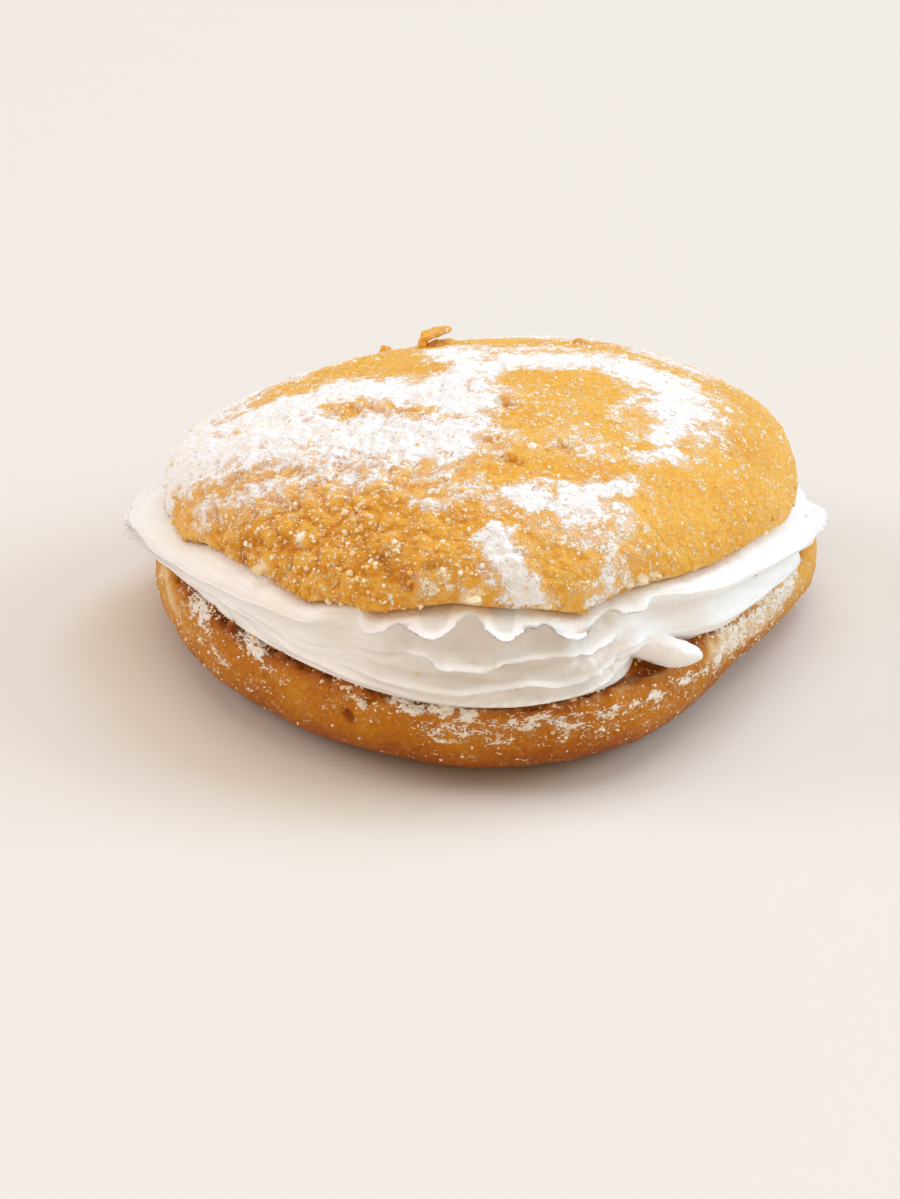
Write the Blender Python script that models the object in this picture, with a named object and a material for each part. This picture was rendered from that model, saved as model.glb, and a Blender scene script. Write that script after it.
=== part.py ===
"""Cream bun: a round sugared bun, split and filled with piped cream.

Three solids, each its own object: bun_bottom (the lower half, or heel), cream (the filling,
which runs right through) and bun_top (the lid, opened a few degrees towards the front).
Blender units are metres, +Z up, front towards -Y. The bun rests on the floor at Z = 0.

A place round the bun is its turn in degrees: 0 at the back, 90 at the left, 180 at the front
and 270 at the right.
"""

import itertools
import math
import random

import bmesh
import bpy
import numpy as np
from mathutils import Euler, Matrix, Vector

MM = 0.001

# The lower half
HEEL_RADIUS = 50 * MM
HEEL_HEIGHT = 14.4 * MM  # floor to the cut
HEEL_BELLY = 7.6 * MM  # height at which it is widest
HEEL_FOOT = 0.74  # flat resting disc, as a share of the radius
HEEL_SHOULDER = 0.93  # where the rounded rim meets the cut, as a share of the radius
HEEL_ROUNDING = 0.67  # power of the rim's curve: 1 is an ellipse, less is squarer
BACK_DROP = 2.0 * MM  # how far the cut sinks at the back
# Where else the rim sinks: (turn, half width, metres)
RIM_DROPS = ((176, 34, 1.1 * MM), (244, 24, 3.6 * MM))

# The lid, in its own frame: the middle of its cut is the origin
LID_RADIUS = 48 * MM
LID_RISE = 17.4 * MM  # cut to the top of the dome
LID_TUCK = 1.4 * MM  # how far the crust turns under at the lip
LID_LIP = 1.0 * MM  # height of that turned edge
LID_LIFT = 21.3 * MM  # floor to the middle of the lid's cut
LID_SHIFT = (0.3 * MM, -0.6 * MM)  # the lid lies a little off the middle
LID_LEAN = (-6.1, -1.95)  # degrees about X, which opens the front, and about Y
LID_PEAK_SHIFT = 0.9 * MM  # the top of the dome lies to the right
DOME_POWERS = (0.85, 0.87)  # fullness of the dome, outwards and upwards

# Waves that make an outline less than round: (number round the bun, share of the radius, turn)
HEEL_WAVES = ((2, 0.028, -26), (3, 0.044, -59), (4, 0.026, 7), (5, 0.014, -9))
LID_WAVES = ((2, 0.019, -27), (3, 0.023, -52), (4, 0.014, -10), (5, 0.010, 11))
# The lid's lip rises and falls in the same way: (number round the bun, metres, turn)
LIP_WAVES = ((2, 1.09 * MM, -20), (3, 1.08 * MM, -8))
# Lobes of crust that hang lower, and one notch: (turn, half width, metres down)
LIP_LOBES = (
    (110, 7, 1.7 * MM),
    (149, 5, 1.5 * MM),
    (162, 4, 1.1 * MM),
    (175, 6, -1.3 * MM),
    (195, 6, 2.2 * MM),
    (220, 9, 0.6 * MM),
    (252, 8, 1.0 * MM),
    (305, 9, 0.9 * MM),
    (20, 8, 1.1 * MM),
    (58, 7, 0.9 * MM),
)
# Dents in the outlines: turn, half width and depth
LID_DENT = (88, 13, 0.8 * MM)
HEEL_DENT = (0, 40, 1.6 * MM)
# Crust: how far it stands out, and the size of its lumps
LID_LUMPS = (0.5 * MM, 13 * MM)
ROUGH_LUMPS = (0.55 * MM, 6 * MM)
ROUGH_AT = (140, 45)  # the turn and half width where the lid is roughest
HEEL_LUMPS = (0.55 * MM, 12 * MM)
# Lumps of crust and large crystals on the lid: (turn, distance and width in millimetres)
NUBS = (
    (194, 11.0, 2.4),
    (180.5, 23.8, 2.2),
    (186, 29.7, 1.3),
    (202.5, 27.4, 1.5),
    (132.5, 46.4, 2.3),
    (177.5, 49.3, 2.6),
    (120, 40.5, 1.7),
    (150, 34.0, 1.6),
    (28, 33.0, 1.8),
    (330, 30.0, 2.0),
    (146.5, 45.6, 1.9),
    (155, 48.4, 1.3),
    (158, 37.4, 1.5),
    (169, 40.7, 1.5),
    (145, 38.6, 1.4),
    (132, 42.8, 1.4),
    (193.5, 26.9, 1.6),
    (216.5, 30.6, 1.5),
    (202.5, 34.3, 1.2),
    (219.5, 19.8, 1.2),
)
# Smaller crystals fall by chance, most of them where the lid is rough
GRAINS = 26
GRAIN_WIDTHS = (0.9, 1.4)
GRAIN_SPAN = (0.2, 0.93)  # nearest and furthest from the middle, as shares of the radius
GRAIN_SHAPE = (1, 0.8, 0.75)
GRAIN_LIFT = 0.1  # how far a grain's middle stands above the crust, as a share of its width

# The cream
CLEARANCE = 0.35 * MM  # between the cream and each half
CREAM_FOOT = 0.955  # where its wall starts, as a share of the heel's radius
FRONT_FOOT = 0.03  # how much further out it starts at the front
FRONT_FOOT_AT = (174, 26)  # turn and half width
CREAM_BULGE = 0.8 * MM
FOOT_HOLD = 0.05  # near its edges the wall stands still, over these shares of its height
HEAD_HOLD = 0.03
RECESS = 5.5 * MM  # the cream stands back from the rim at the front right
RECESS_AT = (211.5, 6.5)  # turn and half width

# Piped strands on the cream's wall. Each is a path of (turn, level, reach in millimetres), where
# the level is 0 at the heel and 1 at the lid, then its thickness above and below the crest as
# shares of the wall's height, how far the crest droops as a share of its reach, and its fullness:
# 1 is a sharp edge, 2 a bell, and more is squarer.
STRANDS = (
    # the broad ridge at the left, which ends in a fold at the far left
    (((60, 0.6, 0), (74, 0.75, 4.0), (88, 0.82, 6.4), (96, 0.78, 5.6), (106, 0.76, 4.0), (125, 0.74, 3.7),
      (137, 0.78, 3.4), (150, 0.84, 2.6), (160, 0.86, 0)), 0.22, 0.1, 0.12, 2),
    # the two folds below it at the far left
    (((68, 0.45, 0), (80, 0.5, 4.6), (91, 0.52, 6.4), (99, 0.48, 4.6), (112, 0.36, 1.8),
      (150, 0.34, 0)), 0.15, 0.1, 0.1, 3),
    (((72, 0.22, 0), (86, 0.2, 4.0), (95, 0.2, 5.2), (104, 0.18, 1.6), (128, 0.14, 0)), 0.13, 0.1, 0, 3),
    # the ruffled edge at the front: two waves, then two more from a second lip
    (((159, 0.9, 0), (162, 0.91, 2.6), (166.5, 0.99, 2.9), (172.5, 0.88, 4.0), (177.5, 1.02, 2.8),
      (182.7, 0.89, 4.1), (187, 1.0, 2.8), (189.5, 1.0, 0)), 0.22, 0.045, 0.34, 1.1),
    (((184, 1.0, 0), (187.5, 1.0, 2.6), (193, 0.96, 4.2), (199.5, 1.02, 3.6), (204.5, 0.92, 3.0),
      (208, 0.88, 0)), 0.22, 0.05, 0.34, 1.1),
    # the rough ledge half way up the front
    (((166, 0.58, 0), (170.5, 0.6, 1.8), (174, 0.5, 2.4), (179.5, 0.48, 2.1), (183, 0.55, 1.3),
      (188, 0.58, 1.2), (193, 0.66, 2.6), (198, 0.68, 2.4), (203, 0.62, 0)), 0.14, 0.04, 0.3, 1.2),
    # the thin ridges at the foot of the front
    (((158, 0.24, 0), (166, 0.22, 1.2), (174, 0.2, 1.9), (182, 0.27, 1.9), (186, 0.31, 2.1),
      (191, 0.25, 1.9), (197, 0.32, 1.9), (202, 0.36, 0)), 0.09, 0.035, 0.3, 1.2),
    (((140, 0.16, 0), (158, 0.1, 0.8), (176, 0.06, 1.0), (191, 0.05, 1.1), (198, 0.12, 1.0),
      (202, 0.14, 0)), 0.05, 0.04, 0, 2),
    # the two rolls at the right
    (((203, 0.93, 0), (208, 0.93, 1.9), (216, 0.86, 2.7), (226, 0.82, 3.0), (240, 0.76, 3.2),
      (254, 0.7, 3.5), (263, 0.62, 3.8), (269, 0.55, 3.4), (276, 0.55, 0.9), (290, 0.6, 0)),
     0.2, 0.14, 0.12, 4),
    (((198, 0.45, 0), (205, 0.44, 1.9), (214, 0.34, 3.1), (222, 0.38, 3.4), (238, 0.37, 3.4),
      (252, 0.33, 3.1), (261, 0.34, 1.0), (267, 0.34, 0)), 0.16, 0.16, 0.15, 4),
    # the ruffled edge and the rolls below it, on round the back
    (((284, 0.9, 0), (292, 0.92, 2.0), (299, 0.83, 2.9), (307, 0.93, 2.1), (315, 0.82, 3.0),
      (323, 0.92, 2.2), (333, 0.84, 2.8), (342, 0.92, 2.1), (350, 0.82, 3.0), (360, 0.9, 2.2),
      (370, 0.82, 2.9), (381, 0.92, 2.2), (390, 0.84, 2.8), (401, 0.9, 2.1), (412, 0.85, 2.4),
      (424, 0.8, 0)), 0.24, 0.06, 0.3, 2),
    (((278, 0.3, 0), (298, 0.42, 1.8), (320, 0.34, 2.4), (345, 0.4, 2.2), (370, 0.33, 2.4),
      (396, 0.42, 2.0), (420, 0.36, 1.6), (440, 0.4, 0)), 0.16, 0.12, 0.2, 3),
)

# A lobe of cream that has slid out on to the rim: (turn, distance, height) along it, in
# millimetres, as in the tips and lumps below
TONGUE = ((203, 43.0, 17.7), (208, 46.8, 17.2), (212, 49.8, 15.9), (214.4, 51.8, 14.4))
TONGUE_SIZE = (4.0, 5.4)  # thickness and depth in millimetres
# The feathered end of the cream at the right
TIPS = (
    ((255, 46.0, 18.4), (261, 48.8, 18.4), (266, 51.6, 19.4)),
    ((257, 46.5, 16.4), (263, 48.8, 16.4), (268, 51.4, 17.2)),
)
TIP_SIZE = (3.2, 3.8)  # thickness and depth in millimetres
BLUNT, POINTED = 6, 2  # how slowly a strip narrows to its ends
# Lumps of cream squeezed out at the left: (turn, distance, height) and (round, out, up) sizes
DOLLOPS = (
    ((93, 48.8, 17.3), (15, 8.2, 2.8)),
    ((89, 48.4, 16.2), (13, 8.0, 2.4)),
)
# A curled tag of crust at the back of the lid: where it grows, and the path of its curl from
# there as (across, back, up) in millimetres
TAG_AT = (19.5, 27 * MM)  # turn and distance from the middle
TAG = ((0, -0.3, -1.2), (-0.8, 0.1, 0.4), (-0.4, 0.3, 1.7), (1.4, 0.4, 2.4), (3.9, 0.4, 3.1))
TAG_SIZE = (1.6, 3.2)  # thickness and depth in millimetres
TAG_FOOT = ((-1.4, 0, -0.2), (2.6, 0.5, 0.4), (6.8, 0.7, 0))  # the ridge it springs from

# Rings of each mesh, from the bottom pole up
HEEL_STEPS = (1, 4, 5, 3)  # floor disc, up to the belly, up to the rim, over the cut
CREAM_STEPS = (2, 14, 2)  # bottom face, wall, top face
LID_STEPS = (3, 2, 17)  # cut, turned edge, dome
HEEL_SEGMENTS = 80
CREAM_SEGMENTS = 150  # fine enough for the ruffles
LID_SEGMENTS = 90
STRIP_MESH = (12, 10)  # segments and rings, as in the two below
TAG_MESH = (10, 12)
DOLLOP_MESH = (12, 8)
DOLLOP_LUMPS = 0.15  # how uneven a lump of cream is, as a share of its size
DOLLOP_LUMP_SIZE = 0.9
LOOK_AHEAD = 0.15  # share of a strip's path that gives its direction

# Noise: how many steps it repeats after, its gain, and a random order and slopes for its corners
NOISE_PERIOD = 256
NOISE_GAIN = 1.6
shuffle = np.random.default_rng(5)
NOISE_ORDER = shuffle.permutation(NOISE_PERIOD)
NOISE_SLOPES = shuffle.normal(size=(NOISE_PERIOD, 3))
NOISE_SLOPES /= np.linalg.norm(NOISE_SLOPES, axis=1, keepdims=True)

HEEL_COLOUR = (0.60, 0.27, 0.05)
CREAM_COLOUR = (0.90, 0.87, 0.82)
LID_COLOUR = (0.70, 0.36, 0.06)


def smooth(value):
    """0 up to 0, 1 from 1 on, and an even S between."""
    value = np.clip(value, 0, 1)
    return value * value * (3 - 2 * value)


def risen(value, start, end):
    """0 up to the start and 1 from the end on, with an even S between."""
    return smooth((value - start) / (end - start))


def near(turn, centre, half_width):
    """1 at the centre turn, falling smoothly away from it on both sides."""
    away = (turn - centre + 180) % 360 - 180
    return np.exp(-((away / half_width) ** 2))


def wave(turn, waves):
    return sum(size * np.cos(np.radians(count * (turn - crest))) for count, size, crest in waves)


def sunk(turn, drops):
    return sum(depth * near(turn, centre, half_width) for centre, half_width, depth in drops)


def heel_radius(turn):
    return HEEL_RADIUS * (1 + wave(turn, HEEL_WAVES)) - sunk(turn, [HEEL_DENT])


def lid_radius(turn):
    return LID_RADIUS * (1 + wave(turn, LID_WAVES)) - sunk(turn, [LID_DENT])


def placed(turn, radius, height):
    """Points from their turn, distance from the middle and height."""
    angle = np.radians(turn)
    return np.stack([-radius * np.sin(angle), radius * np.cos(angle), height], axis=-1)


def cut_height(turn, radius):
    """Height of the lower half's cut, which sinks towards the back and in places at the rim."""
    share = radius / HEEL_RADIUS
    back = np.clip(share * np.cos(np.radians(turn)), 0, 1)
    return HEEL_HEIGHT - BACK_DROP * back**2 - sunk(turn, RIM_DROPS) * share**4


def underside_height(turn, radius):
    """Height of the lid's cut in the lid's frame."""
    share = radius / lid_radius(turn)
    return wave(turn, LIP_WAVES) * share**2 - sunk(turn, LIP_LOBES) * share**8


def lid_to_world(points):
    """Carries points from the lid's frame to the bun's."""
    lean = Euler([math.radians(degrees) for degrees in (*LID_LEAN, 0)]).to_matrix()
    return points @ np.array(lean).T + (*LID_SHIFT, LID_LIFT)


def unevenness(points, size):
    """Smooth noise of about -1 to 1 at each point, with lumps of a given size: each corner of a
    grid of cubes has its own slope, and the slopes of a cube's eight corners are blended."""
    places = points / size
    first = np.floor(places).astype(int)
    inside = places - first
    blend = inside**3 * (inside * (6 * inside - 15) + 10)
    total = np.zeros(places.shape[:-1])
    for corner in itertools.product((0, 1), repeat=3):
        at = (first + corner) % NOISE_PERIOD
        key = 0
        for axis in range(3):
            key = NOISE_ORDER[(key + at[..., axis]) % NOISE_PERIOD]
        slope = ((inside - corner) * NOISE_SLOPES[key]).sum(axis=-1)
        total += slope * np.prod(np.where(corner, blend, 1 - blend), axis=-1)
    return NOISE_GAIN * total


def stages(share, steps):
    """Which part of a profile each ring belongs to, and how far along it: 2.5 is half way along
    the third part."""
    ends = np.cumsum((0, *steps))
    return np.interp(share * ends[-1], ends, np.arange(len(ends)))


def heel_points(turn, stage):
    outline = heel_radius(turn)
    foot = HEEL_FOOT * outline
    shoulder = HEEL_SHOULDER * outline
    rim = cut_height(turn, shoulder)
    swing = np.radians(90) * np.clip(stage % 1, 0, 1)
    out = np.cos(swing) ** HEEL_ROUNDING
    up = np.sin(swing) ** HEEL_ROUNDING
    cut = shoulder * (4 - stage)
    parts = [stage < 1, stage < 2, stage < 3]
    radius = np.select(
        parts,
        [foot * stage, foot + (outline - foot) * np.sin(swing), shoulder + (outline - shoulder) * out],
        cut,
    )
    height = np.select(
        parts,
        [0 * turn, HEEL_BELLY * (1 - np.cos(swing)), HEEL_BELLY + (rim - HEEL_BELLY) * up],
        cut_height(turn, cut),
    )
    return placed(turn, radius, height)


def lid_points(turn, stage):
    outline = lid_radius(turn)
    inner = outline - LID_TUCK
    edge = underside_height(turn, inner)
    lip = underside_height(turn, outline) + LID_LIP
    swing = np.radians(90) * np.clip(stage - np.where(stage < 2, 1, 2), 0, 1)
    out = np.clip(np.cos(swing), 0, 1) ** DOME_POWERS[0]
    up = np.sin(swing) ** DOME_POWERS[1]
    parts = [stage < 1, stage < 2]
    radius = np.select(parts, [inner * stage, inner + LID_TUCK * np.sin(swing)], outline * out)
    height = np.select(
        parts,
        [underside_height(turn, radius), edge + (lip - edge) * (1 - np.cos(swing))],
        lip + (LID_RISE - lip) * up,
    )
    points = placed(turn, radius, height)
    points[..., 0] += LID_PEAK_SHIFT * np.where(stage < 2, 0, up)
    return lid_to_world(points)


def eased(value, places, amounts):
    """Between the given amounts, level at each of their places: it draws waves from a few points."""
    number = np.interp(value, places, np.arange(len(places)))
    before = np.clip(number.astype(int), 0, len(places) - 2)
    amounts = np.asarray(amounts)
    return amounts[before] + (amounts[before + 1] - amounts[before]) * smooth(number - before)


def strand(turn, level, path, above, below, droop, fullness):
    """How far out and how far down one strand carries the wall."""
    turns, levels, reaches = np.array(path).T
    reach = eased(turn, turns, reaches) * MM
    away = np.abs(level - eased(turn, turns, levels))
    side = np.where(level > eased(turn, turns, levels), above, below)
    out = reach * np.exp(-((away / side) ** fullness))
    return out, droop * out


def cream_points(turn, stage):
    foot = (CREAM_FOOT + FRONT_FOOT * near(turn, *FRONT_FOOT_AT)) * heel_radius(turn)
    foot = foot - RECESS * near(turn, *RECESS_AT)
    head = lid_radius(turn) - LID_TUCK
    level = np.clip(stage - 1, 0, 1)
    low = placed(turn, foot, cut_height(turn, foot) + CLEARANCE)
    high = lid_to_world(placed(turn, head, underside_height(turn, head) - CLEARANCE))
    out = CREAM_BULGE * np.sin(np.pi * level)
    down = 0 * out
    for shape in STRANDS:
        for once_round in (0, 360):
            more_out, more_down = strand(turn + once_round, level, *shape)
            out = out + more_out
            down = down + more_down
    held = smooth(level / FOOT_HOLD) * smooth((1 - level) / HEAD_HOLD)
    wall = low + (high - low) * level[..., None]
    wall = wall + placed(turn, out * held, -down * held)
    floor_radius = foot * stage
    bottom = placed(turn, floor_radius, cut_height(turn, floor_radius) + CLEARANCE)
    top_radius = head * (3 - stage)
    top = lid_to_world(placed(turn, top_radius, underside_height(turn, top_radius) - CLEARANCE))
    points = np.where((stage < 1)[..., None], bottom, wall)
    return np.where((stage > 2)[..., None], top, points)


def bumps(points, size_of_lumps):
    height, size = size_of_lumps
    return height * unevenness(points, size)


def crusted_lid(turn, stage):
    points = lid_points(turn, stage)
    outward = points - (0, 0, -LID_LIFT)
    outward /= np.linalg.norm(outward, axis=-1, keepdims=True)
    out = bumps(points, LID_LUMPS) + near(turn, *ROUGH_AT) * bumps(points, ROUGH_LUMPS)
    return points + outward * (out * risen(stage, 1.9, 2.15))[..., None]


def lid_surface(turn, distance):
    """The point of the dome at a distance from the middle."""
    share = np.clip(distance / lid_radius(turn), 0, 1) ** (1 / DOME_POWERS[0])
    return crusted_lid(turn, 2 + np.arccos(share) / np.radians(90))


def crusted_heel(turn, stage):
    points = heel_points(turn, stage)
    wall_only = risen(stage, 1.0, 1.5) * (1 - risen(stage, 2.2, 2.7))
    out = bumps(points, HEEL_LUMPS) * wall_only
    return points + placed(turn, out, 0 * out)


def painted(name, colour, roughness):
    material = bpy.data.materials.new(name)
    material.use_nodes = True
    shader = material.node_tree.nodes["Principled BSDF"]
    shader.inputs["Base Color"].default_value = (*colour, 1)
    shader.inputs["Roughness"].default_value = roughness
    shader.inputs["Metallic"].default_value = 0
    material.diffuse_color = (*colour, 1)
    return material


def globe_faces(segments, rings):
    """The faces of a globe whose points are the bottom pole, the rings upwards, and the top pole."""
    here = np.arange(segments)
    after = (here + 1) % segments
    last = 1 + segments * (rings - 1)
    quads = np.stack([here, after, after + segments, here + segments], axis=-1) + 1
    quads = quads + segments * np.arange(rings - 2)[:, None, None]
    bottom = np.stack([after + 1, here + 1, 0 * here], axis=-1)
    top = np.stack([here, after, 0 * here + segments], axis=-1) + last - segments
    return [*bottom.tolist(), *quads.reshape(-1, 4).tolist(), *top.tolist()]


def round_body(name, segments, rings, place):
    """A closed body whose points go where place(turn, share) says. The share is 0 at the bottom pole
    and 1 at the top one."""
    turns, shares = np.meshgrid(np.arange(segments) * 360 / segments, np.arange(1, rings) / rings)
    turns = np.concatenate([[0], turns.ravel(), [0]])
    shares = np.concatenate([[0], shares.ravel(), [1]])
    mesh = bpy.data.meshes.new(name)
    mesh.from_pydata(place(turns, shares), [], globe_faces(segments, rings))
    mesh.update()
    return bpy.data.objects.new(name, mesh)


def profile_body(name, segments, steps, surface):
    """A round body whose rings follow the stages of a surface's profile."""
    return round_body(name, segments, sum(steps), lambda turn, share: surface(turn, stages(share, steps)))


def dollop(place, size):
    """A lump of cream: its place is (turn, distance, height) and its size (round, out, up), in
    millimetres."""
    turn, distance, height = place
    middle = placed(np.array([turn]), np.array([distance * MM]), np.array([height * MM]))[0]
    out = placed(np.array([turn]), np.array([1]), np.array([0]))[0]
    along = np.array((out[1], -out[0], 0))
    halves = np.array(size) * MM / 2

    def shape(around, share):
        tilt = np.radians(180) * (share - 0.5)
        ball = placed(around, np.cos(tilt), np.sin(tilt))
        ball = ball * (1 + DOLLOP_LUMPS * unevenness(ball + middle / MM, DOLLOP_LUMP_SIZE))[:, None]
        x, y, z = (ball * halves).T
        return middle + x[:, None] * along + y[:, None] * out + z[:, None] * np.array((0, 0, 1))

    return round_body("dollop", *DOLLOP_MESH, shape)


def strip(name, path, side, size, mesh_size, bluntness):
    """A rounded strip that follows the points of a path and narrows at both ends. Its size is its
    thickness and its depth, which lies along the side direction."""
    thickness, depth = (value * MM for value in size)
    steps = np.linspace(0, 1, len(path))

    def on_path(along):
        return np.stack([np.interp(along, steps, column) for column in path.T], axis=-1)

    def shape(around, share):
        along = 0.5 - 0.5 * np.cos(np.pi * share)
        ahead = on_path(along + LOOK_AHEAD) - on_path(along - LOOK_AHEAD)
        up = np.cross(side, ahead)
        up /= np.linalg.norm(up, axis=-1, keepdims=True)
        width = np.clip(1 - np.abs(2 * along - 1) ** bluntness, 0, 1) ** 0.5 / 2
        x = depth * width * np.cos(np.radians(around))
        y = thickness * width * np.sin(np.radians(around))
        return on_path(along) + x[:, None] * side - y[:, None] * up

    return round_body(name, *mesh_size, shape)


def cream_strip(name, path, size, bluntness):
    """A strip of cream through places (turn, distance, height) in millimetres."""
    turn, distance, height = np.array(path, float).T
    side = placed(turn[1] + 90, 1, 0 * turn[1])
    return strip(name, placed(turn, distance, height) * MM, side, size, STRIP_MESH, bluntness)


def grain(point, width, roll):
    """A crystal of sugar, half sunk in the crust."""
    crystal = bmesh.new()
    bmesh.ops.create_icosphere(crystal, subdivisions=1, radius=width / 2)
    mesh = bpy.data.meshes.new("grain")
    crystal.to_mesh(mesh)
    crystal.free()
    squash = Matrix.Diagonal((*GRAIN_SHAPE, 1))
    turned = Euler([roll.uniform(0, math.tau) for _ in range(3)]).to_matrix().to_4x4()
    mesh.transform(Matrix.Translation(Vector(point)) @ turned @ squash)
    return bpy.data.objects.new("grain", mesh)


def fuse(body, pieces):
    """Joins the pieces to the body as one solid, and takes the pieces away."""
    helpers = bpy.data.collections.new(body.name + " pieces")
    bpy.context.scene.collection.children.link(helpers)
    for piece in pieces:
        helpers.objects.link(piece)
    join = body.modifiers.new("join", "BOOLEAN")
    join.operation = "UNION"
    join.operand_type = "COLLECTION"
    join.collection = helpers
    join.solver = "MANIFOLD"
    with bpy.context.temp_override(object=body):
        bpy.ops.object.modifier_apply(modifier=join.name)
    for piece in pieces:
        bpy.data.objects.remove(piece)
    bpy.data.collections.remove(helpers)


for old in list(bpy.data.objects):
    bpy.data.objects.remove(old)

bun = bpy.data.collections.new("cream_bun")
bpy.context.scene.collection.children.link(bun)

heel = profile_body("bun_bottom", HEEL_SEGMENTS, HEEL_STEPS, crusted_heel)
cream = profile_body("cream", CREAM_SEGMENTS, CREAM_STEPS, cream_points)
lid = profile_body("bun_top", LID_SEGMENTS, LID_STEPS, crusted_lid)
heel.data.materials.append(painted("heel crust", HEEL_COLOUR, 0.5))
cream.data.materials.append(painted("piped cream", CREAM_COLOUR, 0.45))
lid.data.materials.append(painted("lid crust", LID_COLOUR, 0.5))
for node in (heel, cream, lid):
    bun.objects.link(node)

# The cream's tongue, tips and lumps
tongue = cream_strip("tongue", TONGUE, TONGUE_SIZE, BLUNT)
tips = [cream_strip("tip", path, TIP_SIZE, POINTED) for path in TIPS]
fuse(cream, [tongue, *tips, *(dollop(*shape) for shape in DOLLOPS)])

# The lid's tag and sugar
chance = random.Random(7)
sugar = list(NUBS)
for width in np.linspace(*reversed(GRAIN_WIDTHS), GRAINS):
    distance = chance.uniform(*GRAIN_SPAN) * LID_RADIUS / MM
    sugar.append((chance.gauss(*ROUGH_AT), distance, width))
grains = []
for turn, distance, width in sugar:
    point = lid_surface(np.array([turn]), np.array([distance * MM]))[0]
    width = width * MM
    grains.append(grain(point + (0, 0, GRAIN_LIFT * width), width, chance))
root = lid_surface(*(np.array([value]) for value in TAG_AT))[0]
back = np.array((0, 1, 0))
tag_parts = [
    strip("tag", root + np.array(path) * MM, back, TAG_SIZE, TAG_MESH, BLUNT) for path in (TAG, TAG_FOOT)
]
fuse(lid, [*tag_parts, *grains])

# The floor point below the middle of the whole bun becomes the origin
corners = []
for node in (heel, cream, lid):
    points = np.empty(len(node.data.vertices) * 3)
    node.data.vertices.foreach_get("co", points)
    corners.append(points.reshape(-1, 3).min(axis=0))
    corners.append(points.reshape(-1, 3).max(axis=0))
low, high = np.min(corners, axis=0), np.max(corners, axis=0)
shift = Vector((-(low[0] + high[0]) / 2, -(low[1] + high[1]) / 2, -low[2]))
for node in (heel, cream, lid):
    node.data.transform(Matrix.Translation(shift))
print("moved by", [round(value / MM, 3) for value in shift])
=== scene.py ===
# %% [markdown]
# # Dressing a cream bun
#
# The real object is a round sugared bun, split through the middle and filled with piped cream. Its
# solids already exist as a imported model, which we load as a fixed frame. This lesson makes what the
# eye sees: a crust with lumps, cracks and pores, cream with folded ridges, sugar in three sizes, and
# the light. We work in metres, with +Z up and the front towards -Y.

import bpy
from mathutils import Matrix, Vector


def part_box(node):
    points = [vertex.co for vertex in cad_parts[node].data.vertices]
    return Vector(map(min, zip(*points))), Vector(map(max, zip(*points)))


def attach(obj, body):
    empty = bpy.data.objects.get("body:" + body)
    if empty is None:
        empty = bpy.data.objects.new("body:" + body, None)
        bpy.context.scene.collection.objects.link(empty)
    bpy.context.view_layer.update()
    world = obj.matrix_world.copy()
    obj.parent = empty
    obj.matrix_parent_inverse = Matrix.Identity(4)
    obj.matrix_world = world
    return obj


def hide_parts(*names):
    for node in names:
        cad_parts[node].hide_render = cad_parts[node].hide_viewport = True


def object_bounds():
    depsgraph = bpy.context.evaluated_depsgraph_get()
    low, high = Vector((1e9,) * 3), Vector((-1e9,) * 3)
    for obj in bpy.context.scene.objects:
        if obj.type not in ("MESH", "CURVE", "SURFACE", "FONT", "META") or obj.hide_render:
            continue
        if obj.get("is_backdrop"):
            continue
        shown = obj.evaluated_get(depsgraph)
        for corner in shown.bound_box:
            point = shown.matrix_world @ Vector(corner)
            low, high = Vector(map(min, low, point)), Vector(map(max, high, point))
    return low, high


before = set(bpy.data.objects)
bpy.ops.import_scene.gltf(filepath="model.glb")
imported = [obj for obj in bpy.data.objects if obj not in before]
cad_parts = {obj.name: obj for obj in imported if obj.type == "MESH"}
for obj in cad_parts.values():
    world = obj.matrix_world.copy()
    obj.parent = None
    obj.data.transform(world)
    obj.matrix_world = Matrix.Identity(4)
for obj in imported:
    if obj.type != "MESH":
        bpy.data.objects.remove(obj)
cad_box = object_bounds()
print("nodes:", sorted(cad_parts))
print("size in mm:", [round(1000 * (high - low), 1) for low, high in zip(*cad_box)])

# %% [markdown]
# ## Tools for arrays of points
#
# Every surface here is a rule: it takes a place on the bun and gives a point. The place is a turn in
# degrees (0 at the back, 90 at the left, 180 at the front, 270 at the right) and a number that runs
# from the bottom of the piece to its top. NumPy works the rule out for many thousands of places at
# once, which a loop in Python could not do in reasonable time.

# %% Modules, the unit, and soft steps
import itertools
import math

import bpy
import numpy as np
from mathutils import Euler, Matrix, Vector

MM = 0.001


def smooth(value):
    """0 up to 0, 1 from 1 on, and an even S between."""
    value = np.clip(value, 0, 1)
    return value * value * (3 - 2 * value)


def bell(away, half_width, power=2):
    """1 at 0 and 0.37 at the half width on both sides. A higher power makes it squarer."""
    return np.exp(-(np.abs(away / half_width) ** power))


def near(turn, centre, half_width):
    """1 at the centre turn, falling smoothly away from it on both sides."""
    return bell((turn - centre + 180) % 360 - 180, half_width)


def wave(turn, waves):
    """The sum of some waves round the bun: (number of crests, size, turn of a crest) each."""
    return sum(size * np.cos(np.radians(count * (turn - crest))) for count, size, crest in waves)


def sunk(turn, drops):
    """How far an edge sinks: (turn, half width, depth) each."""
    return sum(depth * near(turn, centre, half_width) for centre, half_width, depth in drops)


def placed(turn, radius, height):
    """Points from their turn, distance from the middle and height."""
    angle = np.radians(turn)
    return np.stack([-radius * np.sin(angle), radius * np.cos(angle), height], axis=-1)


def turn_of(points):
    """The turn of each point, 0 to 360."""
    return np.degrees(np.arctan2(-points[..., 0], points[..., 1])) % 360


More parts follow.
